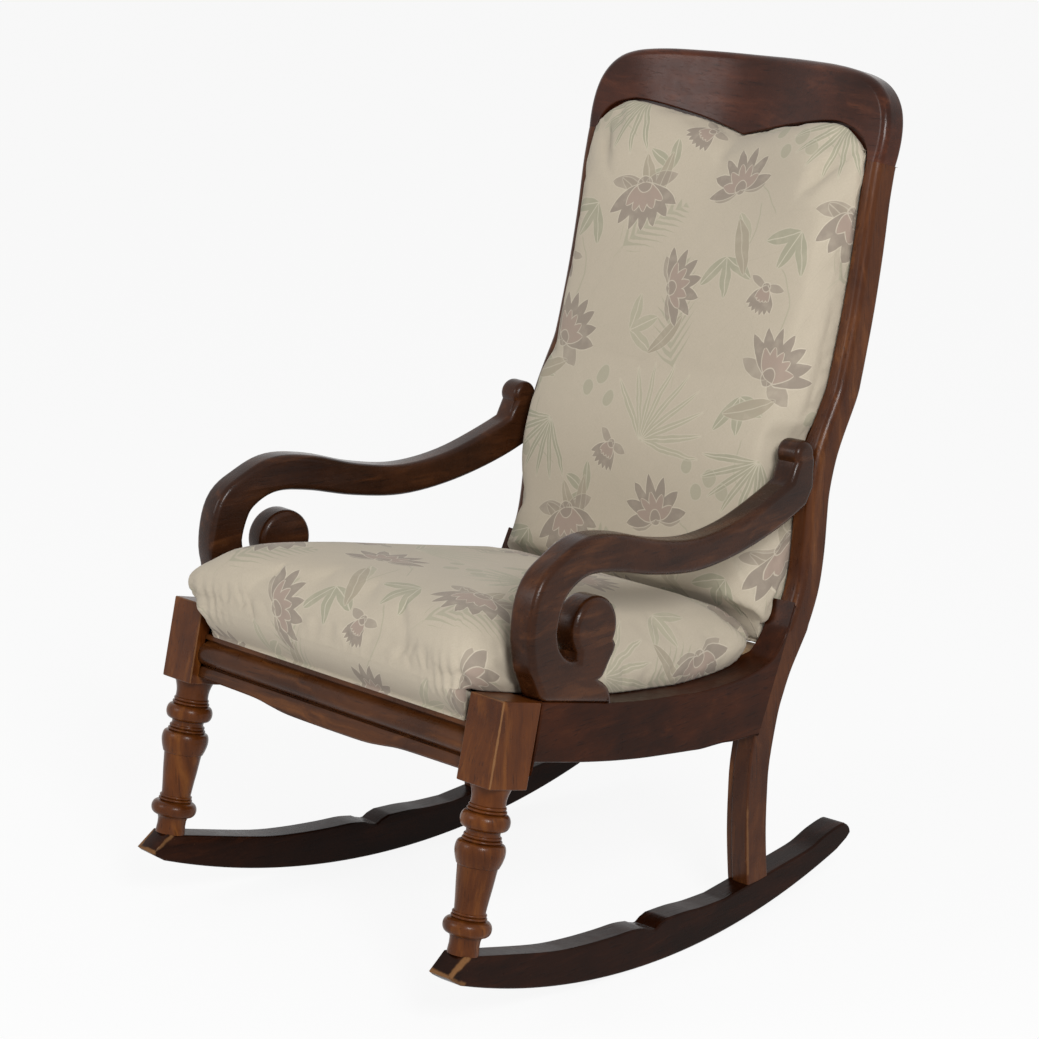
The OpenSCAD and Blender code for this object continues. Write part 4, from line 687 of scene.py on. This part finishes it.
# Webbing: 50 mm jute straps woven across the seat frame, and three level straps across the
# back. They are tacked to the rails, and they carry the springs and the back's hessian.
jute, place = new_finish("jute_web")
threads = [(part * (math.tau / 0.0024)).sum("SINE") for part in place.parts()]
weave = threads[0] * threads[1] * threads[2]
fuzz = place.noise(420.0, 3.0)
tone = (fuzz + weave * 0.18).step(0.3, 0.75)
surface(place, tone.tint((0.24, 0.16, 0.08), (0.46, 0.34, 0.19)), fuzz * 0.1 + 0.85,
        {"Specular IOR Level": 0.2}, (weave * 0.5 + fuzz, 0.5, 0.0008))
web_w, web_t, web_rise, web_pitch = 50, 2, 1.15, 73.68
spring_x, spring_rows = 101.2, (206.8, 354.2)
web_fall = math.tan(math.radians(6.652))


def web_z(y):
    return 294.43 - (y - 75.39) * web_fall


def over_under(u):
    """How far a strap rises where it passes over or under another. u counts the crossings."""
    return web_rise * max(-1, min(1, 2.2 * math.cos(math.pi * u)))


def rail_x(y):
    """Outer face of the side rail."""
    return rail_out_x - (y - splay_y) * rail_splay


def strap(name, line, across):
    """A flat strap along a line of points, as wide as the vector across says."""
    rings = []
    for k, p in enumerate(line):
        a, b = Vector(line[max(k - 1, 0)]), Vector(line[min(k + 1, len(line) - 1)])
        up = (b - a).cross(Vector(across)).normalized() * (web_t / 2 / 1000)
        side = Vector(across) / 2
        rings.append([tuple(Vector(p) + corner)
                      for corner in (side + up, up - side, -side - up, side - up)])
    return skin(name, rings)


straps = []
for i in (-1, 0, 1):
    line = [placed(i * spring_x, y, web_z(y) + over_under((y - spring_rows[0] - i * web_pitch)
                                                          / web_pitch))
            for y in [76.2 + 361.4 * k / 60 for k in range(61)]]
    straps.append(strap("web", line, (web_w / 1000, 0, 0)))
for k in (-1, 0, 1, 2):
    y = spring_rows[0] + k * web_pitch
    reach = rail_x(y + web_w / 2) - rail_t - 0.4
    line = [placed(x, y, web_z(y) + over_under((x - (k % 2 == 0) * spring_x) / spring_x))
            for x in [-reach + 2 * reach * n / 60 for n in range(61)]]
    straps.append(strap("web", line, (0, -web_w / 1000, web_w / 1000 * web_fall)))
seat_web = joined("seat_web_straps", *straps)
finished(seat_web, jute, "jute", "seat_webbing")
straps = []
for middle in (421.4, 593.4, 670.8):
    half_w = min(post_x(z) + post_half - face_w(z)
                 for z in (middle - web_w / 2, middle + web_w / 2)) * 0.985 - 2.6
    if 473 < middle < 600:
        half_w = min(half_w, 206)
    rings = []
    for z in [middle - web_w / 2 + web_w * n / 10 for n in range(11)]:
        y = post_y(z) - 9 * post_grow(z) - 0.3
        rings.append([placed(-half_w, y, z), placed(half_w, y, z), placed(half_w, y - web_t, z),
                      placed(-half_w, y - web_t, z)])
    straps.append(skin("web", rings))
back_web = joined("back_web_straps", *straps)
finished(back_web, jute, "jute", "back_webbing")

# Springs: six waisted coils of 3.2 mm wire, three turns each, sewn to the webbing below and to
# the hessian above.
seat_front_y, seat_mid_y, seat_rear_y = 17.39, 257.53, 497.66
rail_line = [(0, 372.6), (199.9, 325.76)] + rail_high[1:]


def arm_x(y):
    """Middle of the arm's thickness."""
    return arm_mid_x - (y - splay_y) * arm_splay


def seat_side_x(y):
    return arm_x(y) - 17.6


def seat_base_z(y):
    """Where the cushion lies on the rails: on the higher of their edges over its foot."""
    y = min(y, 473.66)
    return max(level(rail_line, y), level(rail_line, y + 3.96))


def crown_z(y):
    """Top of the seat at its middle, which falls to the rear."""
    return 460 + (369 - 460) * (y - seat_front_y) / (seat_rear_y - seat_front_y)


hessian_share = 0.34
under_shares = [(0.955, 0), (0.88, 0.3), (0.76, 0.58), (0.58, 0.82), (0.34, 0.96), (0, 1)]


def hessian_z(x, y):
    """Height of the hessian over the springs, which carries the stuffing."""
    r = max(abs(x) / seat_side_x(y), abs(y - seat_mid_y) / (seat_rear_y - seat_mid_y)) / 0.982
    base = seat_base_z(y)
    rise = level(under_shares[::-1], min(r, 0.955)) * hessian_share
    return base + rise * (crown_z(y) - base)


coils = []
wire_r, coil_r, per_turn, turns = 1.6, 32, 36, 3
for cx in (-spring_x, 0, spring_x):
    for cy in spring_rows:
        rings = []
        for n in range(per_turn * turns + 1):
            v = max(0, min(1, (n / per_turn - 0.7) / 1.6))
            r, a = coil_r * (1 - 0.24 * math.sin(math.pi * v)), math.tau * n / per_turn
            x, y = cx + r * math.cos(a), cy + r * math.sin(a)
            low = web_z(y) + web_rise + web_t / 2 + 1.9
            z = low + (hessian_z(x, y) - 2.8 - low) * v
            rings.append([placed(x + wire_r * math.cos(a) * math.cos(m),
                                 y + wire_r * math.sin(a) * math.cos(m), z + wire_r * math.sin(m))
                          for m in [math.tau * k / 8 for k in range(8)]])
        coils.append(smooth(skin("coil", rings), 60))
springs = joined("seat_spring_coils", *coils)
finished(springs, steel, "steel", "seat_springs")

# Fabric: a woven furnishing cotton, cream ground with flowers in taupe, leaves in sage and thin
# pale outlines. The sprays and flowers repeat every 340 mm across and 400 mm along the cloth.
repeat_across, repeat_along = 0.34, 0.4


def spray(a, b, spacing, reach, length, half_w, veined=False):
    """Pointed blades that fan out from one point: their mask, edge line and, if asked, vein."""
    spacing, reach = math.radians(spacing), math.radians(reach)
    outermost = round(reach / spacing)
    r = (a * a + b * b) ** 0.5
    turn = a.sum("ARCTAN2", b)
    nearest = (turn / spacing).sum("ROUND").sum("MINIMUM", outermost).most(-outermost)
    off = turn - nearest * spacing
    across = abs(off.sum("SINE") * r)
    along = off.sum("COSINE") * r / length
    room = (along * (1 - along) * 4).most(0) ** 0.78 * half_w
    inside = room - across
    drawn = [inside.step(-0.0002, 0.0004),
             abs(inside + 0.0003).step(0.0009, 0.0004) * room.step(0, 0.0005)]
    if veined:
        drawn.append(across.step(0.0009, 0.0004) * room.step(0, 0.001) * drawn[0])
    return drawn


def at_motif(x, y, turn):
    """The cloth's place measured from a motif, which comes again in every repeat."""
    across = (u - x).sum("WRAP", repeat_across / 2, -repeat_across / 2)
    along = (v - y).sum("WRAP", repeat_along / 2, -repeat_along / 2)
    c, s = math.cos(math.radians(turn)), math.sin(math.radians(turn))
    return across * c + along * s, along * c - across * s


floral, place = new_finish("floral_fabric")
cloth = place.add("ShaderNodeUVMap", {"uv_map": "cloth"})
ground, taupe, rose, sage = ((0.50, 0.435, 0.338), (0.285, 0.237, 0.192),
                             (0.355, 0.272, 0.222), (0.34, 0.328, 0.235))
pale, faint, olive = (0.65, 0.58, 0.46), (0.415, 0.385, 0.282), (0.365, 0.315, 0.235)
sway = (cloth.noise(34.0, 2.0) - 0.5) * 0.006
u, v = [part + sway for part in cloth.parts()[:2]]
shade = cloth.noise(60.0, 3.0)
worn_print = shade.step(0.2, 0.6) * 0.35 + 0.55
colour = (shade.step(0.35, 0.7) * 0.25).tint(ground, tuple(c * 0.94 for c in ground))
lines = shade.step(0.74, 0.8) * 0.15
# fern fronds: leaflets in pairs along a curved rib
leaflet = 0.0118
for x, y, turn, length in ((0.055, 0.075, 24, 0.13), (0.262, 0.205, -38, 0.105)):
    a, b = at_motif(x, y, turn)
    bent = a - b * b * 2.2
    run = b / length
    cell = ((b - abs(bent) * 0.95) / leaflet).sum("FRACT") - 0.5
    reach = (run * (1 - run) * 4).most(0) ** 0.6 * 0.036
    inside = (1 - abs(bent) / (reach + 0.0005)) * 0.0042 - abs(cell) * leaflet
    leaf = inside.step(-0.0003, 0.0006) * run.step(0, 0.03) * run.step(1, 0.97)
    rib = abs(bent).step(0.0012, 0.0005) * run.step(-0.2, -0.15) * run.step(1, 0.9)
    colour = (leaf * 0.62).tint(colour, sage)
    colour = (rib * 0.4).tint(colour, faint)
# curling stems
for x, y, turn, bend, length in ((0.16, 0.27, 70, 0.02, 0.1), (0.1, 0.2, -20, 0.016, 0.09),
                                 (0.24, 0.34, 30, -0.018, 0.09),
                                 (0.2, 0.13, 10, 0.014, 0.08)):
    a, b = at_motif(x, y, turn)
    side = abs(a - (b * (math.pi / length)).sum("SINE") * bend)
    stem = side.step(0.0013, 0.0006) * b.step(-0.002, 0.004) * b.step(length, length - 0.004)
    colour = (stem * 0.5).tint(colour, sage)
# leaves in twos and threes, some pale-veined
for x, y, turn, spacing, reach, length, half_w, tone in (
        (0.205, 0.252, 150, 44, 44, 0.052, 0.0085, sage),
        (0.1, 0.215, 190, 52, 52, 0.05, 0.008, sage),
        (0.128, 0.235, 40, 50, 25, 0.045, 0.0085, faint),
        (0.3, 0.31, 60, 60, 60, 0.04, 0.0075, sage),
        (0.17, 0.06, 200, 46, 46, 0.044, 0.008, sage),
        (0.31, 0.11, -60, 55, 30, 0.046, 0.0085, faint),
        (0.045, 0.385, -24, 17, 68, 0.098, 0.0046, faint),
        (0.225, 0.395, 150, 19, 57, 0.08, 0.0042, sage)):
    a, b = at_motif(x, y, turn)
    leaf, edge, vein = spray(a, b, spacing, reach, length, half_w, veined=True)
    colour = (leaf * worn_print).tint(colour, tone)
    lines = lines.most((edge * 0.35).most(vein * 0.8))
# broad drooping leaves beside the flowers
for x, y, turn, spacing, reach, length, half_w in ((0.1, 0.262, 215, 34, 17, 0.074, 0.0105),
                                                   (0.222, 0.062, 118, 40, 20, 0.07, 0.011),
                                                   (0.29, 0.262, 35, 36, 36, 0.066, 0.0095),
                                                   (0.05, 0.14, 150, 38, 19, 0.066, 0.01)):
    a, b = at_motif(x, y, turn)
    leaf, edge, vein = spray(a - b * b * 2.4, b, spacing, reach, length, half_w, veined=True)
    colour = (leaf * worn_print * 1.1).tint(colour, olive)
    lines = (lines * (1 - leaf)).most((edge * 0.4).most(vein * 0.55))
# round buds on the stems
for x, y, r in ((0.165, 0.365, 0.010), (0.186, 0.352, 0.0095), (0.148, 0.345, 0.009),
                (0.29, 0.055, 0.0095), (0.272, 0.038, 0.009), (0.31, 0.03, 0.0085),
                (0.128, 0.372, 0.0085)):
    a, b = at_motif(x, y, 0)
    gap = (a * a + b * b * 0.75) ** 0.5
    colour = (gap.step(r + 0.0004, r - 0.0004) * 0.6).tint(colour, sage)
    lines = lines.most(abs(gap - r * 0.97).step(0.0008, 0.0003) * 0.45)
# flowers: outer petals, inner petals and a cup, each row outlined
for x, y, turn, size, spread in ((0.085, 0.3, 18, 1.0, 90), (0.2, 0.085, -28, 1.08, 64),
                                 (0.268, 0.285, 196, 1.12, 60), (0.17, 0.185, 165, 0.62, 36),
                                 (0.02, 0.17, -70, 0.95, 84), (0.335, 0.375, 150, 0.66, 40)):
    a, b = at_motif(x, y, turn)
    sepal, sepal_edge = spray(a, b, 100, 100, 0.043 * size, 0.0085 * size)
    petal, petal_edge = spray(a, b, spread / 3, spread, 0.052 * size, 0.0082 * size)
    heart, heart_edge = spray(a, b + 0.002, spread / 2.6, spread * 0.75, 0.033 * size,
                              0.006 * size)
    colour = (sepal * 0.8 * worn_print).tint(colour, taupe)
    colour = (petal * worn_print * 1.15).tint(colour, taupe)
    colour = (heart * worn_print * 1.2).tint(colour, rose)
    lines = (lines.most(sepal_edge * 0.4) * (1 - petal)).most(petal_edge * 0.7)
    lines = (lines * (1 - heart)).most(heart_edge * 0.85)
    cup = (a * a + b * b) ** 0.5
    colour = (cup.step(0.0098 * size, 0.009 * size) * 0.8).tint(colour, taupe)
    lines = lines.most(abs(cup - 0.0092 * size).step(0.0009, 0.0004) * 0.8)
colour = (lines * 0.75).tint(colour, pale)
# the weave: slubs along both threads, and a slight greying from use
slub = (cloth.vector("MULTIPLY", (2600, 330, 1)).noise(1.0, 1.0) * 0.5
        + cloth.vector("MULTIPLY", (330, 2600, 1)).noise(1.0, 1.0) * 0.5)
soil = cloth.noise(7.0, 4.0)
colour = (slub.step(0.62, 0.36) * 0.24).tint(colour, (0.33, 0.28, 0.21))
colour = (soil.step(0.5, 0.75) * 0.12).tint(colour, (0.36, 0.32, 0.24))
# a small brown stain high on the back
stain = place.vector("DISTANCE", placed(205, 672, 868), out=1) + (soil - 0.5) * 0.03
colour = (stain.step(0.024, 0.004) * 0.75).tint(colour, (0.27, 0.165, 0.055))
surface(place, colour, slub * 0.1 + 0.78,
        {"Specular IOR Level": 0.25, "Sheen Weight": 0.12, "Sheen Roughness": 0.5},
        (slub + shade * 0.5, 0.45, 0.0009))

# Seat: a crowned cushion of curled hair over hessian, covered in the fabric, which is drawn
# down over the front rail between the blocks and tacked along the side rails.
def spot(point):
    """A place rounded, so that it can be looked up."""
    return tuple(round(c, 5) for c in point)


def own(point):
    """A mesh point in the chair's own millimetres, as placed takes them."""
    return point.co.x * 1000, point.co.y * 1000 + middle_y, point.co.z * 1000


def spaced(line, gap):
    """More points on a line, so that none is much further than the gap from the next."""
    made = [line[0]]
    for a, b in zip(line, line[1:]):
        steps = max(1, round(math.dist(a, b) / gap(*b)))
        made += [(a[0] + (b[0] - a[0]) * k / steps, a[1] + (b[1] - a[1]) * k / steps)
                 for k in range(1, steps + 1)]
    return made


def cloth_map(piece, rings, centre, shift):
    """Lays the cloth's own measure on a piece: how far each point is from the middle along it."""
    where = {}
    centre = Vector(centre)
    for i in range(len(rings[0])):
        edge = [Vector(ring[i]) for ring in rings]
        lead = max(edge, key=lambda q: (q - centre).length) - centre
        upright = lead.z if abs(piece.dimensions.z) > 0.4 else lead.y
        lead = Vector((lead.x, upright)).normalized()
        gone, last = 0, centre
        for point in reversed(edge):
            gone += (point - last).length
            last = point
            where.setdefault(spot(point), (lead.x * gone + shift[0], lead.y * gone + shift[1]))
    layer = piece.data.uv_layers.active or piece.data.uv_layers.new()
    layer.name = "cloth"
    for loop in piece.data.loops:
        point = piece.data.vertices[loop.vertex_index].co
        layer.data[loop.index].uv = where.get(spot(point), shift)


def ring_numbers(piece, rings):
    """The number of the ring that each point of a piece belongs to, 0 for its two end points."""
    number = {}
    for j, ring in enumerate(rings):
        for point in ring:
            number.setdefault(spot(point), j)
    return [number.get(spot(point.co), 0) for point in piece.data.vertices]


def stuffed(piece, held, pressure, cap, slack):
    """Lets the cover swell against its tacked edges, then caps how far any point has moved."""
    frames = 16
    group = piece.vertex_groups.new(name="tacked")
    for index, weight in enumerate(held):
        group.add([index], weight, "REPLACE")
    before = [point.co.copy() for point in piece.data.vertices]
    choose(piece)
    cover = piece.modifiers.new("cloth", "CLOTH")
    for setting, value in (("quality", 6), ("mass", 0.25), ("tension_stiffness", 18),
                           ("compression_stiffness", 18), ("shear_stiffness", 7),
                           ("bending_stiffness", 0.6), ("use_pressure", True),
                           ("uniform_pressure_force", pressure),
                           ("vertex_group_mass", "tacked"), ("shrink_min", -slack)):
        setattr(cover.settings, setting, value)
    cover.settings.effector_weights.gravity = 0
    cover.point_cache.frame_start = 1
    cover.point_cache.frame_end = frames
    for frame_number in range(1, frames + 1):
        bpy.context.scene.frame_set(frame_number)
    bpy.ops.object.modifier_apply(modifier="cloth")
    bpy.context.scene.frame_set(1)
    for point, old in zip(piece.data.vertices, before):
        move = point.co - old
        if move.length > cap / 1000:
            point.co = old + move.normalized() * (cap / 1000)


seat_shares = [(0, 0), (0, 0.3), (0, 0.6), (0.001, 0.78), (0.01, 0.875), (0.028, 0.92),
               (0.055, 0.945), (0.095, 0.96), (0.14, 0.975), (0.2, 0.995), (0.3, 1), (0.42, 1),
               (0.55, 1), (0.7, 1), (0.82, 1), (0.9, 1), (0.935, 0.985), (0.955, 0.935),
               (0.982, 0.905), (0.996, 0.84), (1, 0.7), (1, 0.27), (1, 0)]
half = []
for share_y, share_x in curve(seat_shares, 4):
    y = seat_front_y + (seat_rear_y - seat_front_y) * share_y
    half.append((share_x * seat_side_x(y), y))
half = spaced(half, lambda x, y: 3 if y < 24 and x > 130 else 6)
outline = half + [(-x, y) for x, y in half[-2:0:-1]]
crown_shares = curve([(0.968, 0), (0.99, 0.13), (1, 0.28), (0.985, 0.44), (0.945, 0.575),
                      (0.87, 0.715), (0.75, 0.845), (0.57, 0.94), (0.34, 0.985), (0.12, 1)], 4)
lip = curve([(-12.6, 2), (-10.6, -5), (-7, -11.3), (-1.6, -18.4), (5.2, -24.8), (11.4, -30)], 2)
lip += [(13, -31.8), (11.7, -33), (11.6, -34.6), (12.9, -35.8), (15.5, -36), (18.4, -34.6),
        (18.6, -20), (18.6, -5.4)]


def seat_point(x, y, q, level_share=1.0):
    """A point of the cushion: q has its share of the outline's size and of the crown's height."""
    x, y = x * q[0], seat_mid_y + (y - seat_mid_y) * q[0]
    base = seat_base_z(y)
    return placed(x, y, base + 0.3 + q[1] * level_share * (crown_z(y) - base))


def front_share(x, y):
    """1 between the blocks, where the cover is drawn down over the front rail, and 0 elsewhere."""
    return bow(1, 0, (abs(x) - 219) / 7) * bow(1, 0, (y - 24) / 4)


rings = []
for out, up in crown_shares[::-1]:
    rings.append([seat_point(x, y, (out + (1 - out) * front_share(x, y) * bow(1, 0, up / 0.28),
                                    up)) for x, y in outline])
rings.append(rings[-1])
for d, t in lip[1:]:
    rings.append([tuple(Vector(seat_point(x, y, crown_shares[0])).lerp(
        Vector(seat_frame(x * 0.985, d, t)), front_share(x, y))) for x, y in outline])
for q in curve(under_shares, 2)[2:-1]:
    rings.append([seat_point(x, y, q, hessian_share) for x, y in outline])
seat = skin("seat_cushion", rings)
cloth_map(seat, rings[::-1], (0, (seat_mid_y - middle_y) / 1000, rings[0][0][2]), (0.11, 0.03))
rim, easing = len(crown_shares) - 1, 5
held = []
for point, j in zip(seat.data.vertices, ring_numbers(seat, rings)):
    x, y, z = own(point)
    under_middle = j == 0 and abs(x) < 200 and z < hessian_z(x, y) + 2
    held.append(1 if under_middle else max(0, min(1, (j - rim + easing) / easing)))
was = [point.co.copy() for point in seat.data.vertices]
stuffed(seat, held, 3.2, 6, 0.03)
# the arms and the back pad keep it from swelling further
for point, old in zip(seat.data.vertices, was):
    y = own(point)[1]
    limit = (arm_x(y) - 17.4) / 1000
    if 60 < y < 205:
        point.co.x = max(-limit, min(limit, point.co.x))
    if old.y > 0.095:
        point.co.y = min(point.co.y, old.y + 0.0006)
# the old cover sags over the left block, and puckers where it is drawn in at the front corners
for point in seat.data.vertices:
    x, y, z = own(point)
    sag = (bow(0, 1, (-x - 192) / 42) * bow(1, 0, (y - 28) / 34) * bow(0, 1, (z - 350) / 16)
           * bow(1, 0, (z - 396) / 30))
    point.co.x -= 0.013 * sag
    point.co.y -= 0.004 * sag
    drawn = bow(0, 1, (abs(x) - 140) / 70) * bow(1, 0, (y - 30) / 25) * bow(1, 0, (z - 380) / 50)
    drawn *= bow(0, 1, (z - 348) / 10)
    fold = math.sin(x / 2.3 + 1.4 * math.sin(x / 15) + z / 19)
    point.co.y -= 0.0011 * drawn * fold
    point.co.z -= 0.0008 * drawn * fold
choose(seat)
bpy.ops.object.shade_smooth()
finished(seat, floral, "floral_fabric", "seat_cover", "seat_stuffing", "seat_hessian")

# Back: a shallow pad in the rebates of posts and crest rail, fullest where a sitter's waist
# rests, covered in the same fabric with its motifs upright.
pad_gap = 0.3


def dished(x, z):
    """The hollow of the back, which fades out below the crest rail."""
    return dish(x) / math.cos(tilt) * bow(0, 1, (z / joint_z - 0.84) / 0.14)


def back_floor(x, z):
    return post_y(z) - (post_half - 8) * post_grow(z) + dished(x, z)


def rebate_x(z):
    return post_x(z) + post_half - face_w(z) - pad_gap


def pad_x(z):
    """The pad is narrower between the arms' rear rolls."""
    return min(rebate_x(z), 212.2) if 473 < z < 559 else rebate_x(z)


low_line = [(min(share * rebate_x(z * joint_z), 207.2), z * joint_z) for share, z in
            ((0, 0.366), (0.35, 0.366), (0.65, 0.366), (0.85, 0.366), (0.93, 0.3665),
             (0.97, 0.369), (1, 0.376), (1, 0.396))] + [(215.2, 347)]
side_line = [(pad_x(z * joint_z), z * joint_z) for z in (
    0.434, 0.51, 0.567, 0.595, 0.622, 0.643, 0.665, 0.683, 0.7, 0.746, 0.81, 0.884, 0.948)]
bow_line = [(x - (pad_gap if x else 0), joint_z + v * math.cos(tilt) - pad_gap) for x, v in
            ((216.5, 12), (210, 22), (202, 29), (192, 34.5), (180, 38), (168, 40.5), (155, 41),
             (138, 40), (115, 37.5), (90, 34), (62, 29.5), (32, 23), (0, 15))]
half = spaced(curve(low_line + side_line + bow_line, 3), lambda x, z: 6)
outline = half + [(-x, z) for x, z in half[-2:0:-1]]
pad_shares = curve([(0.985, 0), (0.987, 0.16), (1, 0.34), (0.99, 0.55), (0.94, 0.74),
                    (0.83, 0.89), (0.62, 0.965), (0.32, 0.995), (0.12, 1)], 4)


def swell(z):
    """Thickness of the pad at its middle, less towards the top and in the tail."""
    return 56 * bow(1, 0.66, (z / joint_z - 0.62) / 0.38) * bow(0.3, 1, (z - 320) / 42)


def behind_seat(z):
    """How far forward the pad may come where the seat cushion meets it."""
    return level([(312, 493), (322, 497), (330, 498.7), (345, 498.7), (353, 494), (362, 486),
                  (372, 471), (380, 400)], z)


def back_point(x, z, q, lift=0.9, level_share=1.0):
    """A point of the pad: q has its share of the outline's size and of the swell."""
    x, z = x * q[0], pad_mid_z + (z - pad_mid_z) * q[0]
    y = back_floor(x, z) - lift - q[1] * level_share * swell(z)
    return placed(x, max(y, behind_seat(z)), z)


pad_mid_z = 602
rings = [[back_point(x, z, q) for x, z in outline] for q in pad_shares[::-1]]
rings += [[back_point(x, z, q, 3.2, 0.12) for x, z in outline]
          for q in ((0.96, 0.0), (0.75, 0.45), (0.55, 0.8), (0.3, 0.9))]
back = skin("back_pad", rings)
cloth_map(back, rings[::-1], back_point(0, pad_mid_z, (0, 1)), (0.03, 0.07))
rim, easing = len(pad_shares) - 1, 4
held = [max(0, min(1, (j - rim + easing) / easing)) for j in ring_numbers(back, rings)]
stuffed(back, held, 2.2, 8, 0.02)
for point in back.data.vertices:
    point.co.y = max(point.co.y, (behind_seat(point.co.z * 1000) - middle_y) / 1000)
choose(back)
bpy.ops.object.shade_smooth()
finished(back, floral, "floral_fabric", "back_cover", "back_stuffing", "back_hessian")

# Bottoming: plain black cotton, tacked flat under the seat rails from block to post, to close
# the seat from below. It is cut in at its corners, round the blocks and the posts.
lining, place = new_finish("black_lining")
threads = [(part * (math.tau / 0.0016)).sum("SINE") for part in place.parts()]
weave = threads[0] * threads[1] + threads[0] * threads[2]
lint = place.noise(240.0, 4.0)
tone = (lint * 0.6 + place.noise(6.0, 4.0) * 0.4 + weave * 0.06).step(0.35, 0.75)
surface(place, tone.tint((0.016, 0.016, 0.018), (0.055, 0.053, 0.052)), lint * 0.1 + 0.85,
        {"Specular IOR Level": 0.2}, (weave * 0.4 + lint, 0.3, 0.0006))
cloth_t = 1.2
rings, area = [], 0
for y in ([61.6, 68, 68.4] + [72 + 10 * k for k in range(38)] + [452.2, 452.6, 463, 473.5]):
    z = level(rail_low, y + 3.96) - 0.6
    half_w = 229.4 if y < 68.2 else 208.9 if y > 452.4 else min(255.8, rail_x(y) - 11.2)
    if rings:
        area += 2 * half_w * math.hypot(y - last_y, z - last_z) / 1e6
    last_y, last_z = y, z
    rings.append([placed(-half_w, y, z), placed(half_w, y, z), placed(half_w, y, z - cloth_t),
                  placed(-half_w, y, z - cloth_t)])
bottoming = smooth(skin("bottoming", rings), 30)
finished(bottoming, lining, "lining_cloth", "bottoming_cloth")

# Outside back: the same black cotton, tacked behind the posts from the lower back rail to the
# crest rail, and drawn into the hollow of the back at its top.
rings, area = [], 0
low_z, high_z = 337.2, 890
for z in [low_z + (high_z - low_z) * k / 70 for k in range(71)]:
    half_w = post_x(z) + post_half - 11.33
    xs = [half_w * k / 16 for k in range(-16, 17)]
    y = post_y(z) + post_half * post_grow(z) + 0.6
    if rings:
        area += 2 * half_w * math.hypot(y - last_y, z - last_z) / 1e6
    last_y, last_z = y, z
    rings.append([placed(x, y + dished(x, z), z) for x in xs]
                 + [placed(x, y + dished(x, z) + cloth_t, z) for x in xs[::-1]])
behind = smooth(skin("outside_back", rings), 30)
finished(behind, lining, "lining_cloth", "outside_back_cloth")
